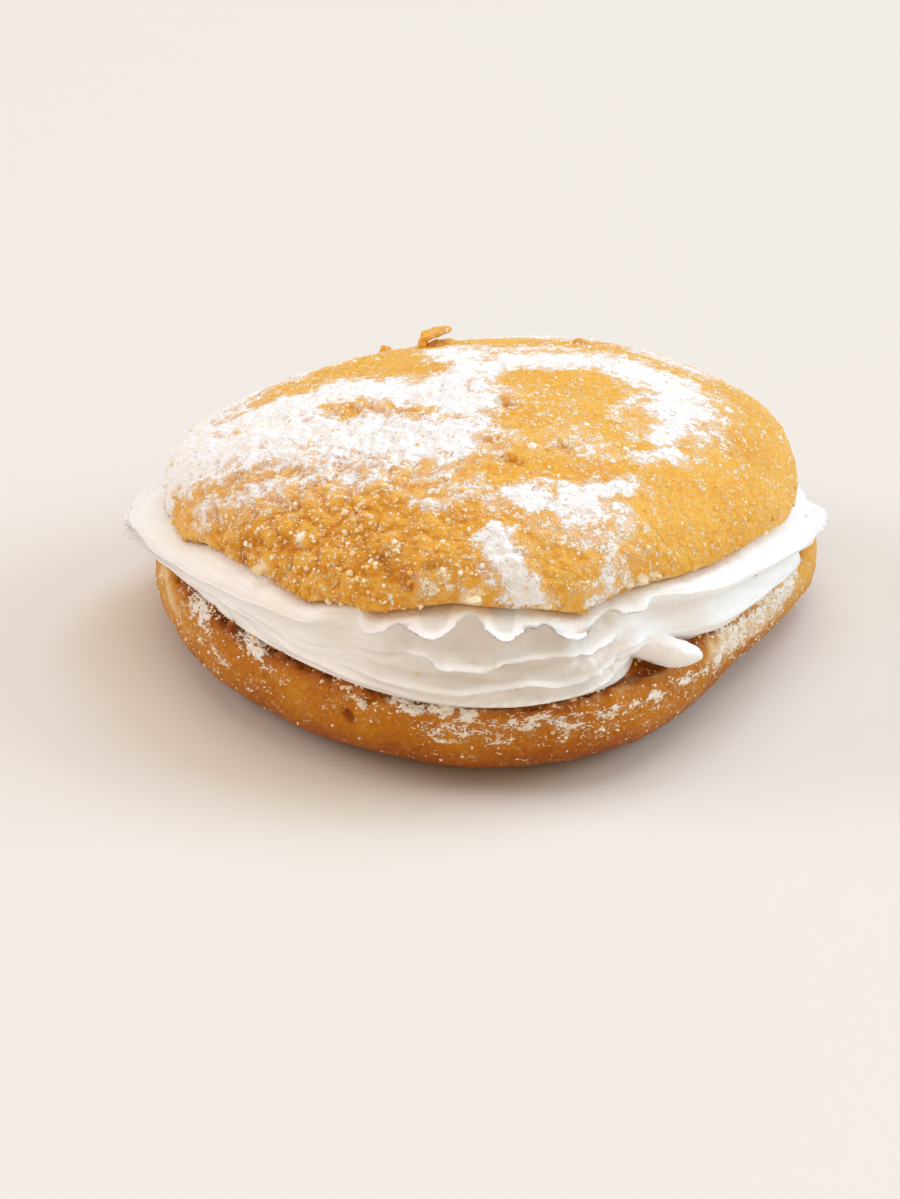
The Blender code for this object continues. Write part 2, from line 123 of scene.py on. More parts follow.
def outward_of(points, centre_height):
    """The direction away from a point on the axis of the bun."""
    outward = points - (0, 0, centre_height)
    return outward / np.linalg.norm(outward, axis=-1, keepdims=True)


print("a point at the front:", placed(np.array(180.0), np.array(1.0), np.array(0.0)).round(3))

# %% [markdown]
# Baked crust is uneven at many sizes: broad lumps, then a fine grain. Noise gives each size its own
# layer. `stages` says which part of a profile a ring of points belongs to, so that the floor, the
# wall and the cut of a piece each get as many rings as they need.

# %% Noise and profile stages
NOISE_PERIOD = 256
shuffle = np.random.default_rng(5)
NOISE_ORDER = shuffle.permutation(NOISE_PERIOD)
NOISE_SLOPES = shuffle.normal(size=(NOISE_PERIOD, 3))
NOISE_SLOPES /= np.linalg.norm(NOISE_SLOPES, axis=1, keepdims=True)


def unevenness(points, size):
    """Smooth noise of about -1 to 1 at each point, with lumps of a given size: each corner of a
    grid of cubes has its own slope, and the slopes of a cube's eight corners are blended."""
    places = points / size
    first = np.floor(places).astype(int)
    inside = places - first
    blend = inside**3 * (inside * (6 * inside - 15) + 10)
    total = np.zeros(places.shape[:-1])
    for corner in itertools.product((0, 1), repeat=3):
        at = (first + corner) % NOISE_PERIOD
        key = 0
        for axis in range(3):
            key = NOISE_ORDER[(key + at[..., axis]) % NOISE_PERIOD]
        slope = ((inside - corner) * NOISE_SLOPES[key]).sum(axis=-1)
        total += slope * np.prod(np.where(corner, blend, 1 - blend), axis=-1)
    return 1.6 * total


def domes(points, size):
    """Noise of rounded lumps with a crease between them: 0 in the crease to about 1."""
    return np.minimum(1, 2.2 * np.abs(unevenness(points, size)))


def layered(points, layers):
    """The sum of some layers of noise: (height, size) each."""
    return sum(height * unevenness(points, size) for height, size in layers)


def drifted(points, reach, size):
    """The points, each carried a little way by noise, which makes the edge of a patch ragged."""
    apart = (0.1, 0.2, 0.3)
    return points + reach * np.stack([unevenness(points + start, size) for start in apart], axis=-1)


def stages(share, steps):
    """Which part of a profile each ring belongs to, and how far along it: 2.5 is half way along
    the third part."""
    ends = np.cumsum((0, *steps))
    return np.interp(share * ends[-1], ends, np.arange(len(ends)))


print("stages of five rings:", stages(np.linspace(0, 1, 5), (1, 4, 5)).round(2))

# %% [markdown]
# ## The lower half
#
# The heel of the bun is a cushion: a flat disc that it rests on, a belly, a tucked rim and the cut.
# Its outline is a circle with a few slow waves, because a hand-shaped bun is never round. These are
# the same driving sizes as the solid's, so the dressed heel keeps its form.

# %% Sizes of the lower half
HEEL_RADIUS = 50 * MM
HEEL_HEIGHT = 14.4 * MM  # floor to the cut
HEEL_BELLY = 7.6 * MM  # height at which it is widest
HEEL_FOOT = 0.74  # flat resting disc, as a share of the radius
HEEL_SHOULDER = 0.93  # where the rounded rim meets the cut, as a share of the radius
HEEL_ROUNDING = 0.67  # power of the rim's curve: 1 is an ellipse, less is squarer
BACK_DROP = 2.0 * MM  # how far the cut sinks at the back
RIM_DROPS = ((176, 34, 1.1 * MM), (244, 24, 3.6 * MM))  # (turn, half width, depth)
HEEL_WAVES = ((2, 0.028, -26), (3, 0.044, -59), (4, 0.026, 7), (5, 0.014, -9))
HEEL_DENT = (0, 40, 1.6 * MM)


def heel_radius(turn):
    return HEEL_RADIUS * (1 + wave(turn, HEEL_WAVES)) - sunk(turn, [HEEL_DENT])


def cut_height(turn, radius):
    """Height of the lower half's cut, which sinks towards the back and in places at the rim."""
    share = radius / HEEL_RADIUS
    back = np.clip(share * np.cos(np.radians(turn)), 0, 1)
    return HEEL_HEIGHT - BACK_DROP * back**2 - sunk(turn, RIM_DROPS) * share**4


def heel_points(turn, stage):
    """Stage 0 to 1 is the floor disc, 1 to 2 rises to the belly, 2 to 3 to the rim, 3 to 4 crosses
    the cut."""
    outline = heel_radius(turn)
    foot = HEEL_FOOT * outline
    shoulder = HEEL_SHOULDER * outline
    rim = cut_height(turn, shoulder)
    swing = np.radians(90) * np.clip(stage % 1, 0, 1)
    out = np.cos(swing) ** HEEL_ROUNDING
    up = np.sin(swing) ** HEEL_ROUNDING
    cut = shoulder * (4 - stage)
    parts = [stage < 1, stage < 2, stage < 3]
    radius = np.select(
        parts,
        [foot * stage, foot + (outline - foot) * np.sin(swing), shoulder + (outline - shoulder) * out],
        cut,
    )
    height = np.select(
        parts,
        [0 * turn, HEEL_BELLY * (1 - np.cos(swing)), HEEL_BELLY + (rim - HEEL_BELLY) * up],
        cut_height(turn, cut),
    )
    return placed(turn, radius, height)


round_turns = np.arange(0.0, 360.0)
print("the heel is", round(2 * float(heel_radius(round_turns).mean()) / MM, 1), "mm across on average")

# %% [markdown]
# ## The lid
#
# The lid is a dome with a turned edge. It leans back a few degrees, which opens the bun towards the
# front, and its lip hangs in lobes where the crust tore. We shape it lying flat and then carry the
# points to their place with one small rotation.

# %% Sizes of the lid
LID_RADIUS = 48 * MM
LID_RISE = 17.4 * MM  # cut to the top of the dome
LID_TUCK = 1.4 * MM  # how far the crust turns under at the lip
LID_LIP = 1.0 * MM  # height of that turned edge
LID_LIFT = 21.3 * MM  # floor to the middle of the lid's cut
LID_SHIFT = (0.3 * MM, -0.6 * MM)  # the lid lies a little off the middle
LID_LEAN = (-6.1, -1.95)  # degrees about X, which opens the front, and about Y
LID_PEAK_SHIFT = 0.9 * MM  # the top of the dome lies to the right
DOME_POWERS = (0.85, 0.87)  # fullness of the dome, outwards and upwards
LID_WAVES = ((2, 0.019, -27), (3, 0.023, -52), (4, 0.014, -10), (5, 0.010, 11))
LID_DENT = (88, 13, 0.8 * MM)
LIP_WAVES = ((2, 1.09 * MM, -20), (3, 1.08 * MM, -8))
# Lobes of crust that hang lower, and one notch: (turn, half width, metres down)
LIP_LOBES = (
    (110, 7, 1.7 * MM),
    (149, 5, 1.5 * MM),
    (162, 4, 1.1 * MM),
    (175, 6, -1.3 * MM),
    (195, 6, 2.2 * MM),
    (220, 9, 0.6 * MM),
    (252, 8, 1.0 * MM),
    (305, 9, 0.9 * MM),
    (20, 8, 1.1 * MM),
    (58, 7, 0.9 * MM),
)


def lid_radius(turn):
    return LID_RADIUS * (1 + wave(turn, LID_WAVES)) - sunk(turn, [LID_DENT])


def underside_height(turn, radius):
    """Height of the lid's cut in the lid's own frame."""
    share = radius / lid_radius(turn)
    return wave(turn, LIP_WAVES) * share**2 - sunk(turn, LIP_LOBES) * share**8


def lid_to_world(points):
    """Carries points from the lid's frame to the bun's."""
    lean = Euler([math.radians(degrees) for degrees in (*LID_LEAN, 0)]).to_matrix()
    return points @ np.array(lean).T + (*LID_SHIFT, LID_LIFT)


def lid_points(turn, stage):
    """Stage 0 to 1 is the cut, 1 to 2 the turned edge, 2 to 3 the dome."""
    outline = lid_radius(turn)
    inner = outline - LID_TUCK
    edge = underside_height(turn, inner)
    lip = underside_height(turn, outline) + LID_LIP
    swing = np.radians(90) * np.clip(stage - np.where(stage < 2, 1, 2), 0, 1)
    out = np.clip(np.cos(swing), 0, 1) ** DOME_POWERS[0]
    up = np.sin(swing) ** DOME_POWERS[1]
    parts = [stage < 1, stage < 2]
    radius = np.select(parts, [inner * stage, inner + LID_TUCK * np.sin(swing)], outline * out)
    height = np.select(
        parts,
        [underside_height(turn, radius), edge + (lip - edge) * (1 - np.cos(swing))],
        lip + (LID_RISE - lip) * up,
    )
    points = placed(turn, radius, height)
    points[..., 0] += LID_PEAK_SHIFT * np.where(stage < 2, 0, up)
    return lid_to_world(points)


top = lid_points(np.array([180.0]), np.array([3.0]))[0]
print("the top of the lid is", round(top[2] / MM, 1), "mm above the floor")

# %% [markdown]
# Places on the lid are easiest to choose on a plan, looking straight down, in millimetres to the
# right of the middle and towards the back. `lid_stage` turns the distance from the middle into the
# stage of the dome, and `on_lid` carries such a plan to the dome. Sugar, cracks and pale patches all
# run along paths, so `marked` draws all of them.

# %% From a plan to the dome
def lid_stage(turn, distance):
    """The stage of the dome at a distance from the middle, in metres."""
    share = np.clip(distance / lid_radius(turn), 0, 1) ** (1 / DOME_POWERS[0])
    return 2 + np.arccos(share) / np.radians(90)


def on_lid(plan):
    """Points of the smooth dome above places (right, back) in millimetres."""
    plan = np.array(plan, float) * MM
    turn = turn_of(plan)
    return lid_points(turn, lid_stage(turn, np.hypot(*plan.T)))


def lid_places(places, surface=lid_points):
    """Points of a surface of the lid at places (turn, distance in millimetres)."""
    turns, distances = np.array(places, float).T
    return surface(turns, lid_stage(turns, distances * MM))


def path_distance(points, path):
    """How far each point is from a path of straight pieces, in metres."""
    nearest = np.full(points.shape[:-1], np.inf)
    path = np.asarray(path)
    for start, end in zip(path[:-1], path[1:]):
        along = end - start
        share = np.clip((points - start) @ along / max(along @ along, 1e-12), 0, 1)
        away = points - start - share[..., None] * along
        nearest = np.minimum(nearest, np.linalg.norm(away, axis=-1))
    return nearest


def marked(points, marks, surface, power=2):
    """How strong the strongest mark is at each point. A mark is (half width in millimetres,
    strength, path): it has its full strength along the path that the surface gives."""
    value = np.zeros(points.shape[:-1])
    for half_width, strength, path in marks:
        away = path_distance(points, surface(path))
        value = np.maximum(value, strength * bell(away, half_width * MM, power))
    return value


def spots(places):
    """Marks that are round, from (turn, distance, half width, strength) each: the path of a spot
    starts and ends at the same place."""
    return [(half_width, strength, [place] * 2) for *place, half_width, strength in places]


print("the middle of the dome is at", (on_lid([(0.01, 0)])[0] / MM).round(1), "mm")

# %% [markdown]
# ## Powdered sugar on the lid
#
# The sugar was shaken on in passes, so it lies in broad strokes with bare streaks between them. Each
# stroke is a short path on the plan with a half width and a strength. A bare stroke takes sugar
# away. The result is a number for each point: about 0 where the crust is bare, 1 where it is white,
# and more where the sugar lies thick. The shader will break it up into single grains later.

# %% Strokes of powdered sugar
# (half width in mm, strength, path on the plan)
DUSTED = (
    # the white left of the lid
    (7.5, 1.6, ((-46, -2), (-38, -9), (-31, -14), (-23, -18), (-14, -21), (-6.5, -22))),
    (8, 1.6, ((-45, 3), (-30, -2), (-20, -3), (-11, -6), (-5, -8))),
    (7, 1.4, ((-46, 6), (-40, 15), (-30, 24))),
    (5.2, 1.5, ((-5, 16), (-3.5, 8), (-4.5, 0), (-5, -8), (-5, -17))),
    (6, 0.6, ((-40, -21), (-30, -27), (-18, -30), (-8, -33))),
    (1.8, 0.95, ((-37, -25), (-31.5, -28))),
    # the arc round the bare middle, down the right
    (5.0, 1.4, ((-4, 1), (1, 8), (6.5, 11), (15, 11), (22, 8), (26.5, 3))),
    (3.8, 1.4, ((26.5, 3), (28, -4), (28.2, -10), (27, -15), (26, -19))),
    (7, 0.5, ((30, 2), (31, -8), (29, -20))),
    (6, 0.85, ((0, 20), (12, 19), (22, 15))),
    (2.6, 0.6, ((22, -5), (20, -12), (20, -20))),
    (2.2, 1.5, ((22.5, -26.5), (26, -25.5))),
    # the patches at the front
    (2.7, 1.5, ((5, -38.5), (9.8, -38), (13.4, -37.8))),
    (1.9, 1.4, ((16.3, -35.7), (20, -33.3))),
    (1.5, 1.0, ((6.5, -35.5), (8.5, -35))),
    (2.3, 1.7, ((1.4, -46.2), (3, -48.2), (5.2, -49.8))),
    (4.4, 0.66, ((12, -41), (18, -41), (16.5, -47.5))),
    (1.6, 1.0, ((-9.5, -39.5), (-7, -40.5))),
    (2.2, 0.7, ((-3.5, -38.5), (1, -39.5))),
    (4.5, 0.48, ((-10, -31), (-2, -38), (8, -43))),
    (8, 0.46, ((8, -8), (10, -24), (15, -28))),
    (2.2, 0.4, ((-8, -49), (-4, -50.5))),
    # round the back
    (7, 1.2, ((-36, 28), (-22, 37), (-4, 40), (10, 37))),
    (6, 0.8, ((24, 24), (33, 16))),
    (6, 0.6, ((-24, 40), (0, 43), (20, 38))),
    (4, 0.5, ((35, 2), (35, -6), (33, -14))),
)
# (half width in mm, strength, path on the plan)
BARE = (
    (2.8, 0.85, ((-38.5, 1.5), (-33.5, 5), (-27, 6.5))),
    (4.6, 0.9, ((-23, 16.5), (-14, 12.5), (-7.5, 7.5))),
    (2.3, 0.8, ((-24, -6.5), (-19, -8.5), (-11.5, -12), (-4, -17))),
    (4, 0.8, ((-4, 27), (6, 24), (22, 18))),
    (6, 0.5, ((8, 2), (9, -8), (8, -16))),
    (2.4, 0.5, ((-24, -21), (-17, -24.5))),
)
# How far the edges of a stroke wander and over what size, in millimetres
DRIFTS = ((2.2, 6), (1.5, 2.3))
# How much thicker and thinner the powder lies, as a share, and over what sizes
UNEVEN_POWDER = ((0.3, 5 * MM), (0.4, 2 * MM))
STROKE_POWER = 1.35  # how soft the edge of a stroke is: 2 is a bell, less is softer
POWDER_GAIN = 1.2
THIN_POWDER = (0.03, 0.14)  # the least there is of it, and how much more where the lid is rough
THICK_POWDER = 1.5  # the most there is of it


def lid_dusting(points):
    """How much powdered sugar lies on each point of the lid."""
    places = points
    for reach, size in DRIFTS:
        places = drifted(places, reach * MM, size * MM)
    white = marked(places, DUSTED, on_lid, STROKE_POWER)
    for bare in BARE:
        white = white * (1 - marked(places, [bare], on_lid, STROKE_POWER))
    white = white * (1 + layered(points, UNEVEN_POWDER))
    least = THIN_POWDER[0] + THIN_POWDER[1] * lid_roughness(turn_of(points))
    return np.clip(POWDER_GAIN * white, least, THICK_POWDER)


print("strokes of sugar:", len(DUSTED), "and bare ones:", len(BARE))

# %% [markdown]
# ## The lid's crust
#
# The right of the lid is smooth and the front left is granular and cracked, where wet sugar dried on
# the dough. So the relief has layers: broad lumps, a grain that is stronger where the lid is rough,
# cracks that follow paths, and pits. Real relief in the mesh, and not only a bump in the shader,
# keeps the crust true from the side.

# %% Relief of the lid
LID_LUMPS = (0.5 * MM, 13 * MM)  # height and size
ROUGH_LUMPS = (0.8 * MM, 5 * MM)
ROUGH_AT = (140, 45)  # the turn and half width where the lid is roughest
LID_GRAIN = ((0.72 * MM, 3.2 * MM), (0.46 * MM, 1.6 * MM))
SMOOTH_SHARE = 0.24  # how much of the grain is left on the smooth right of the lid
TORN_LIP = ((0.5 * MM, 3.0 * MM), (0.32 * MM, 1.3 * MM))  # how ragged the lower edge is
TORN_SHARE = (0.55, 0.6)  # of that, where the lid is smooth, and how much more where it is rough
TORN_OUT = 0.4  # how far the ragged edge moves out, as a share of how far it moves down
POWDER_DEPTH = 0.16 * MM
POWDER_GRAIN = (0.7, 0.9 * MM)  # how uneven the powder is, as a share of its depth, and its size
# Cracks, carved and painted darker, partly as darker crust and partly as painted shade:
# (half width in mm, depth in mm, path of (turn, distance in mm))
LID_CRACKS = (
    (0.5, 0.9, ((121, 45), (124, 46), (126.5, 46.5), (127, 47.5))),
    (0.45, 0.5, ((153, 41), (157, 44), (159, 46), (161, 48))),
    (0.6, 1.0, ((162, 47.5), (164.5, 48.8), (166.5, 49.6), (168.5, 50))),
    (0.5, 0.6, ((134, 47), (137, 46.5), (139, 47))),
    (0.5, 0.4, ((95, 42), (98, 45), (97, 47))),
    (0.5, 0.4, ((20, 42), (24, 45))),
)
# Pits beside the nubs, carved and painted darker, partly as darker crust and partly as painted shade:
# (turn, distance in mm, half width in mm, depth in mm)
LID_PITS = (
    (195, 13.0, 1.2, 0.5),
    (183, 26.5, 1.3, 0.5),
    (188, 31.0, 1.2, 0.5),
    (203, 29.4, 1.2, 0.4),
    (134, 48.0, 1.4, 0.9),
    (179, 48.8, 1.8, 0.5),
)
# Places that baked darker: (turn, distance, half width in mm, how dark from 0 to 1)
BROWNED = (
    (167, 49.2, 2.2, 0.62),
    (163.5, 47.8, 2.2, 0.55),
    (158, 46.6, 2.4, 0.42),
    (171, 48.8, 2.0, 0.5),
    (183, 49.6, 1.6, 0.5),
    (134, 46.5, 2.2, 0.4),
    (118, 43.0, 3.5, 0.3),
    (176, 43.0, 3.0, 0.3),
    (205, 37.0, 4.0, 0.3),
    (250, 40.0, 5.0, 0.2),
    (60, 40.0, 6.0, 0.25),
    (330, 40.0, 6.0, 0.25),
)
# Lumps of crust and crumbs on the lid: (turn, distance, width in mm, how brown from 0 to 1), where
# 0 is a pale flake
NUBS = (
    (194, 11.0, 2.7, 0.12),
    (180.5, 23.8, 2.4, 0.12),
    (186, 29.7, 1.9, 0.15),
    (202.5, 27.6, 1.6, 0.1),
    (132, 46.6, 2.4, 0.02),
    (139.5, 48.1, 2.6, 0),
    (178, 50.6, 2.4, 0),
    (189.5, 49.6, 1.3, 0),
    (204, 48.4, 1.3, 0),
    (206.5, 48.2, 1.8, 0),
    (209.5, 48.0, 1.3, 0),
    (104, 46.5, 1.3, 0),
    (120, 40.5, 1.7, 0.15),
    (150, 34.0, 1.6, 0.15),
    (28, 33.0, 1.8, 0.3),
    (330, 30.0, 2.0, 0.3),
)


def lid_roughness(turn):
    """1 where the lid is granular, 0 on its smooth right."""
    return near(turn, *ROUGH_AT)


def lid_cracks(points):
    """How deep each point lies in the cracks and pits, in millimetres."""
    return marked(points, [*LID_CRACKS, *spots(LID_PITS)], lid_places)


def lid_skin(turn, stage):
    """The lid's surface with all its relief."""
    points = lid_points(turn, stage)
    rough = lid_roughness(turn)
    out = LID_LUMPS[0] * unevenness(points, LID_LUMPS[1])
    out = out + rough * ROUGH_LUMPS[0] * unevenness(points, ROUGH_LUMPS[1])
    grain = sum(height * (domes(points, size) - 0.5) for height, size in LID_GRAIN)
    out = out + grain * (SMOOTH_SHARE + (1 - SMOOTH_SHARE) * rough)
    uneven = 1 + POWDER_GRAIN[0] * unevenness(points, POWDER_GRAIN[1])
    out = out + POWDER_DEPTH * lid_dusting(points) * uneven
    out = out - MM * lid_cracks(points)
    torn = layered(points, TORN_LIP)
    hem = smooth((stage - 1) * 1.5) * smooth((2.35 - stage) * 3)
    hem = hem * (TORN_SHARE[0] + TORN_SHARE[1] * rough)
    lowered = placed(turn, TORN_OUT * torn * hem, torn * hem)
    out = out * smooth((stage - 1.9) * 4)
    return points + lowered + outward_of(points, -LID_LIFT) * out[..., None]


def on_skin(places):
    """Points of that surface at places (turn, distance in millimetres)."""
    return lid_places(places, lid_skin)


print("cracks:", len(LID_CRACKS), "pits:", len(LID_PITS), "nubs:", len(NUBS))

# %% [markdown]
# ## Closed bodies
#
# Each piece is a stack of rings of points between a bottom pole and a top one, like the lines on a
# globe, and the rule says where each point goes. Quads join the rings and a fan of triangles closes
# each pole. Such a skin has no holes, and if the corners of every face go round the same way, all
# faces point outwards.

# %% Make a body
def globe_faces(segments, rings):
    """The faces of a globe whose points are the bottom pole, the rings upwards, and the top pole."""
    here = np.arange(segments)
    after = (here + 1) % segments
    last = 1 + segments * (rings - 1)
    quads = np.stack([here, after, after + segments, here + segments], axis=-1) + 1
    quads = quads + segments * np.arange(rings - 2)[:, None, None]
    bottom = np.stack([after + 1, here + 1, 0 * here], axis=-1)
    top = np.stack([here, after, 0 * here + segments], axis=-1) + last - segments
    return [*bottom.tolist(), *quads.reshape(-1, 4).tolist(), *top.tolist()]


def globe_places(segments, rings):
    """The turn and share of each of those points. The share is 0 at the bottom pole and 1 at the top
    one."""
    turns, shares = np.meshgrid(np.arange(segments) * 360 / segments, np.arange(1, rings) / rings)
    return np.concatenate([[0], turns.ravel(), [0]]), np.concatenate([[0], shares.ravel(), [1]])


def round_body(name, segments, rings, place):
    """A closed body whose points go where place(turn, share) says."""
    mesh = bpy.data.meshes.new(name)
    mesh.from_pydata(place(*globe_places(segments, rings)), [], globe_faces(segments, rings))
    mesh.update()
    return bpy.data.objects.new(name, mesh)


def dress(piece, material):
    """Gives all of a piece one material. A join can leave empty slots, so they go first."""
    piece.data.materials.clear()
    piece.data.materials.append(material)


def points_of(piece):
    """The points of a mesh as an array."""
    points = np.empty(len(piece.data.vertices) * 3)
    piece.data.vertices.foreach_get("co", points)
    return points.reshape(-1, 3)


def store(piece, name, values):
    """Keeps a number for each point of a mesh, for its material to read."""
    layer = piece.data.attributes.new(name, "FLOAT", "POINT")
    layer.data.foreach_set("value", np.asarray(values, np.float32))


def fuse(body, pieces):
    """Joins the pieces to the body as one solid, and takes the pieces away."""
    helpers = bpy.data.collections.new(body.name + " pieces")
    bpy.context.scene.collection.children.link(helpers)
    for piece in pieces:
        helpers.objects.link(piece)
    join = body.modifiers.new("join", "BOOLEAN")
    join.operation = "UNION"
    join.operand_type = "COLLECTION"
    join.collection = helpers
    join.solver = "MANIFOLD"
    with bpy.context.temp_override(object=body):
        bpy.ops.object.modifier_apply(modifier=join.name)
    for piece in pieces:
        bpy.data.objects.remove(piece)
    bpy.data.collections.remove(helpers)


# %% [markdown]
# The lid is the first such body. Most of its rings go to the dome, where the crust is seen, and few
# to the cut, which the cream hides.

# %% The lid's mesh
LID_STEPS = (6, 6, 154)  # rings over the cut, the turned edge and the dome
LID_SEGMENTS = 560


def skinned(name, segments, steps, skin):
    """A body whose rings are shared out over the stages of a skin, in the scene."""
    body = round_body(name, segments, sum(steps), lambda turn, share: skin(turn, stages(share, steps)))
    bpy.context.scene.collection.objects.link(body)
    return body


lid = skinned("lid_crust", LID_SEGMENTS, LID_STEPS, lid_skin)
print("lid:", len(lid.data.polygons), "faces")

# %% [markdown]
# ## The curled tag at the back
#
# A scrap of crust sticks up at the back of the lid. It is a rounded strip that follows a short path:
# a ball stretched along the path, narrow at both ends. A second, lower strip is the ridge that it
# springs from.

# %% Strips, and the tag
TAG_AT = (19.5, 27)  # turn and distance from the middle in millimetres
# Paths of the two strips from there, in millimetres to the right, back and up
TAG = ((0, -0.3, -1.2), (-0.8, 0.1, 0.4), (-0.4, 0.3, 1.7), (1.4, 0.4, 2.4), (3.9, 0.4, 3.1))
TAG_FOOT = ((-1.4, 0, -0.2), (2.6, 0.5, 0.4), (6.8, 0.7, 0))
TAG_SIZE = (1.35, 3.0)  # thickness and depth in millimetres
FLAKE_HEIGHT = 0.45  # of a pale flake, as a share of its width
CREASE_SHADE = 0.55  # how much painted shade darkens the creases of the grain where the lid is rough
NUB_LUMPS = (0.35, 0.8)  # height and size of the lumps on a nub, as shares of its half width
NUB_SPREAD = 0.7  # half width of the colour of a nub, as a share of its width
NUB_POWER = 4  # how sharply that colour ends
COLOUR_DRIFT = (0.8 * MM, 2 * MM)  # how far the edges of a coloured spot wander, and their size


def strip(name, path, side, thickness, depth, segments, rings, bluntness, ragged):
    """A rounded strip that follows the points of a path and narrows at both ends. Its depth lies
    along the side direction. A higher bluntness keeps its ends wider, and ragged says how lumpy it
    is, as a share of its thickness."""
    path = np.array(path)
    steps = np.linspace(0, 1, len(path))

    def on_path(along):
        return np.stack([np.interp(along, steps, column) for column in path.T], axis=-1)

    def shape(around, share):
        along = 0.5 - 0.5 * np.cos(np.pi * share)
        ahead = on_path(along + 0.15) - on_path(along - 0.15)
        up = np.cross(side, ahead)
        up /= np.linalg.norm(up, axis=-1, keepdims=True)
        width = np.clip(1 - np.abs(2 * along - 1) ** bluntness, 0, 1) ** 0.5 / 2
        x = depth * width * np.cos(np.radians(around))
        y = thickness * width * np.sin(np.radians(around))
        points = on_path(along) + x[:, None] * side - y[:, None] * up
        sideways = unevenness(points + 1, 0.9 * MM)[:, None] * side
        lumps = unevenness(points, 1.3 * MM)[:, None] * up + sideways
        return points + ragged * thickness * lumps

    return round_body(name, segments, rings, shape)


def lumpy_ball(around, share, middle, lumps, size):
    """Points of a ball of radius 1 that is uneven by a share of its radius. Its middle in metres
    gives each ball lumps of its own."""
    tilt = np.radians(180) * (share - 0.5)
    ball = placed(around, np.cos(tilt), np.sin(tilt))
    return ball * (1 + lumps * unevenness(ball + middle / MM, size))[:, None]


def nub(turn, distance, width, brown):
    """A lumpy ball of crust, half sunk in the lid. A pale one is a flat flake."""
    middle = on_skin([(turn, distance)])[0]
    height = FLAKE_HEIGHT if brown == 0 else 1

    def shape(around, share):
        ball = lumpy_ball(around, share, middle, *NUB_LUMPS)
        return middle + ball * (1, 1, height) * width * MM / 2

    return round_body("nub", segments=20, rings=12, place=shape)


root = on_skin([TAG_AT])[0]
back = np.array((0, 1, 0))
tags = [
    strip(
        "tag", root + np.array(path) * MM, back, *(size * MM for size in TAG_SIZE),
        segments=40, rings=60, bluntness=3, ragged=0.2,
    )
    for path in (TAG, TAG_FOOT)
]
fuse(lid, [*tags, *(nub(*lump) for lump in NUBS)])
lid_vertices = points_of(lid)
creases = 1 - domes(lid_vertices, LID_GRAIN[0][1])
wandering = drifted(lid_vertices, *COLOUR_DRIFT)
brown_nubs = spots((*place, NUB_SPREAD * width, brown) for *place, width, brown in NUBS)
pale_nubs = spots((*place, NUB_SPREAD * width, brown == 0) for *place, width, brown in NUBS)
# Darker crust: cracks, pits, creases of the grain, brown nubs and darker-baked spots. In the cracks,
# pits and creases it is partly painted shade.
browned_and_shaded = (
    lid_cracks(lid_vertices),
    # painted shade in the creases of the grain
    CREASE_SHADE * creases**2 * lid_roughness(turn_of(lid_vertices)),
    marked(wandering, brown_nubs, on_skin, NUB_POWER),
    marked(wandering, spots(BROWNED), on_skin),
)
store(lid, "dusting", lid_dusting(lid_vertices))
store(lid, "crack", np.maximum.reduce(browned_and_shaded))
store(lid, "pale", marked(wandering, pale_nubs, on_skin, NUB_POWER))
print("lid with its tag:", len(lid.data.polygons), "faces")

# %% [markdown]
# ## The heel's crust
#
# The heel is browner than the lid and has its own marks: wrinkled sugar patches at the left, a
# smooth stretch, a crackled frosting at the front, and a torn rim under the cream. Places on it are
# a turn and a stage, where stage 2 is the belly and stage 3 the rim.

# %% Marks and relief of the heel
HEEL_LUMPS = (0.55 * MM, 12 * MM)
HEEL_GRAIN = ((0.42 * MM, 3.4 * MM), (0.26 * MM, 1.5 * MM))
# (half width in mm, strength, path of (turn, stage))
HEEL_DUSTED = (
    (2.0, 1.4, ((117, 2.9), (120, 2.7), (123, 2.45))),
    (1.3, 0.7, ((121, 2.4), (126, 2.2), (131, 2.12))),
    (1.6, 1.4, ((134, 2.9), (137, 2.75), (139, 2.6))),
    (1.0, 0.8, ((142, 2.35), (145, 2.3))),
    (2.6, 0.36, ((104, 2.35), (116, 2.1), (140, 2.05))),
    (1.4, 1.5, ((166, 2.62), (171, 2.7), (177, 2.64))),
    (1.3, 0.7, ((158, 2.45), (163, 2.3))),
    (1.7, 0.72, ((172, 2.12), (180, 2.25), (190, 2.3), (198, 2.25))),
    (1.2, 0.6, ((180, 2.05), (192, 2.08), (198, 2.02))),
    (0.9, 1.0, ((192, 2.32), (203, 2.3), (214, 2.25), (223, 2.15))),
    (1.9, 1.0, ((227, 2.2), (236, 2.12), (244, 2.15))),
    (2.0, 0.45, ((200, 2.1), (222, 2.1))),
    (2.6, 0.95, ((232, 2.5), (241, 2.3), (250, 2.25), (258, 2.3))),
    (4, 0.55, ((290, 2.4), (305, 2.2), (322, 2.5))),
    (4, 0.55, ((345, 2.6), (10, 2.2), (25, 2.5))),
    (3, 0.65, ((50, 2.7), (62, 2.3), (78, 2.5))),
)
# Pale places where the crust did not brown: (half width in mm, strength, path of (turn, stage))
HEEL_PALE = (
    (2.4, 1.0, ((225, 2.3), (235, 2.2), (247, 2.12), (258, 2.25))),
    (1.4, 0.5, ((180, 2.75), (196, 2.65), (212, 2.6))),
    (1.8, 0.8, ((98, 2.6), (106, 2.4), (112, 2.1))),
    (2.0, 0.8, ((282, 2.3), (310, 2.2), (335, 2.25))),
    (2.0, 0.7, ((0, 2.1), (30, 2.2), (60, 2.1))),
)
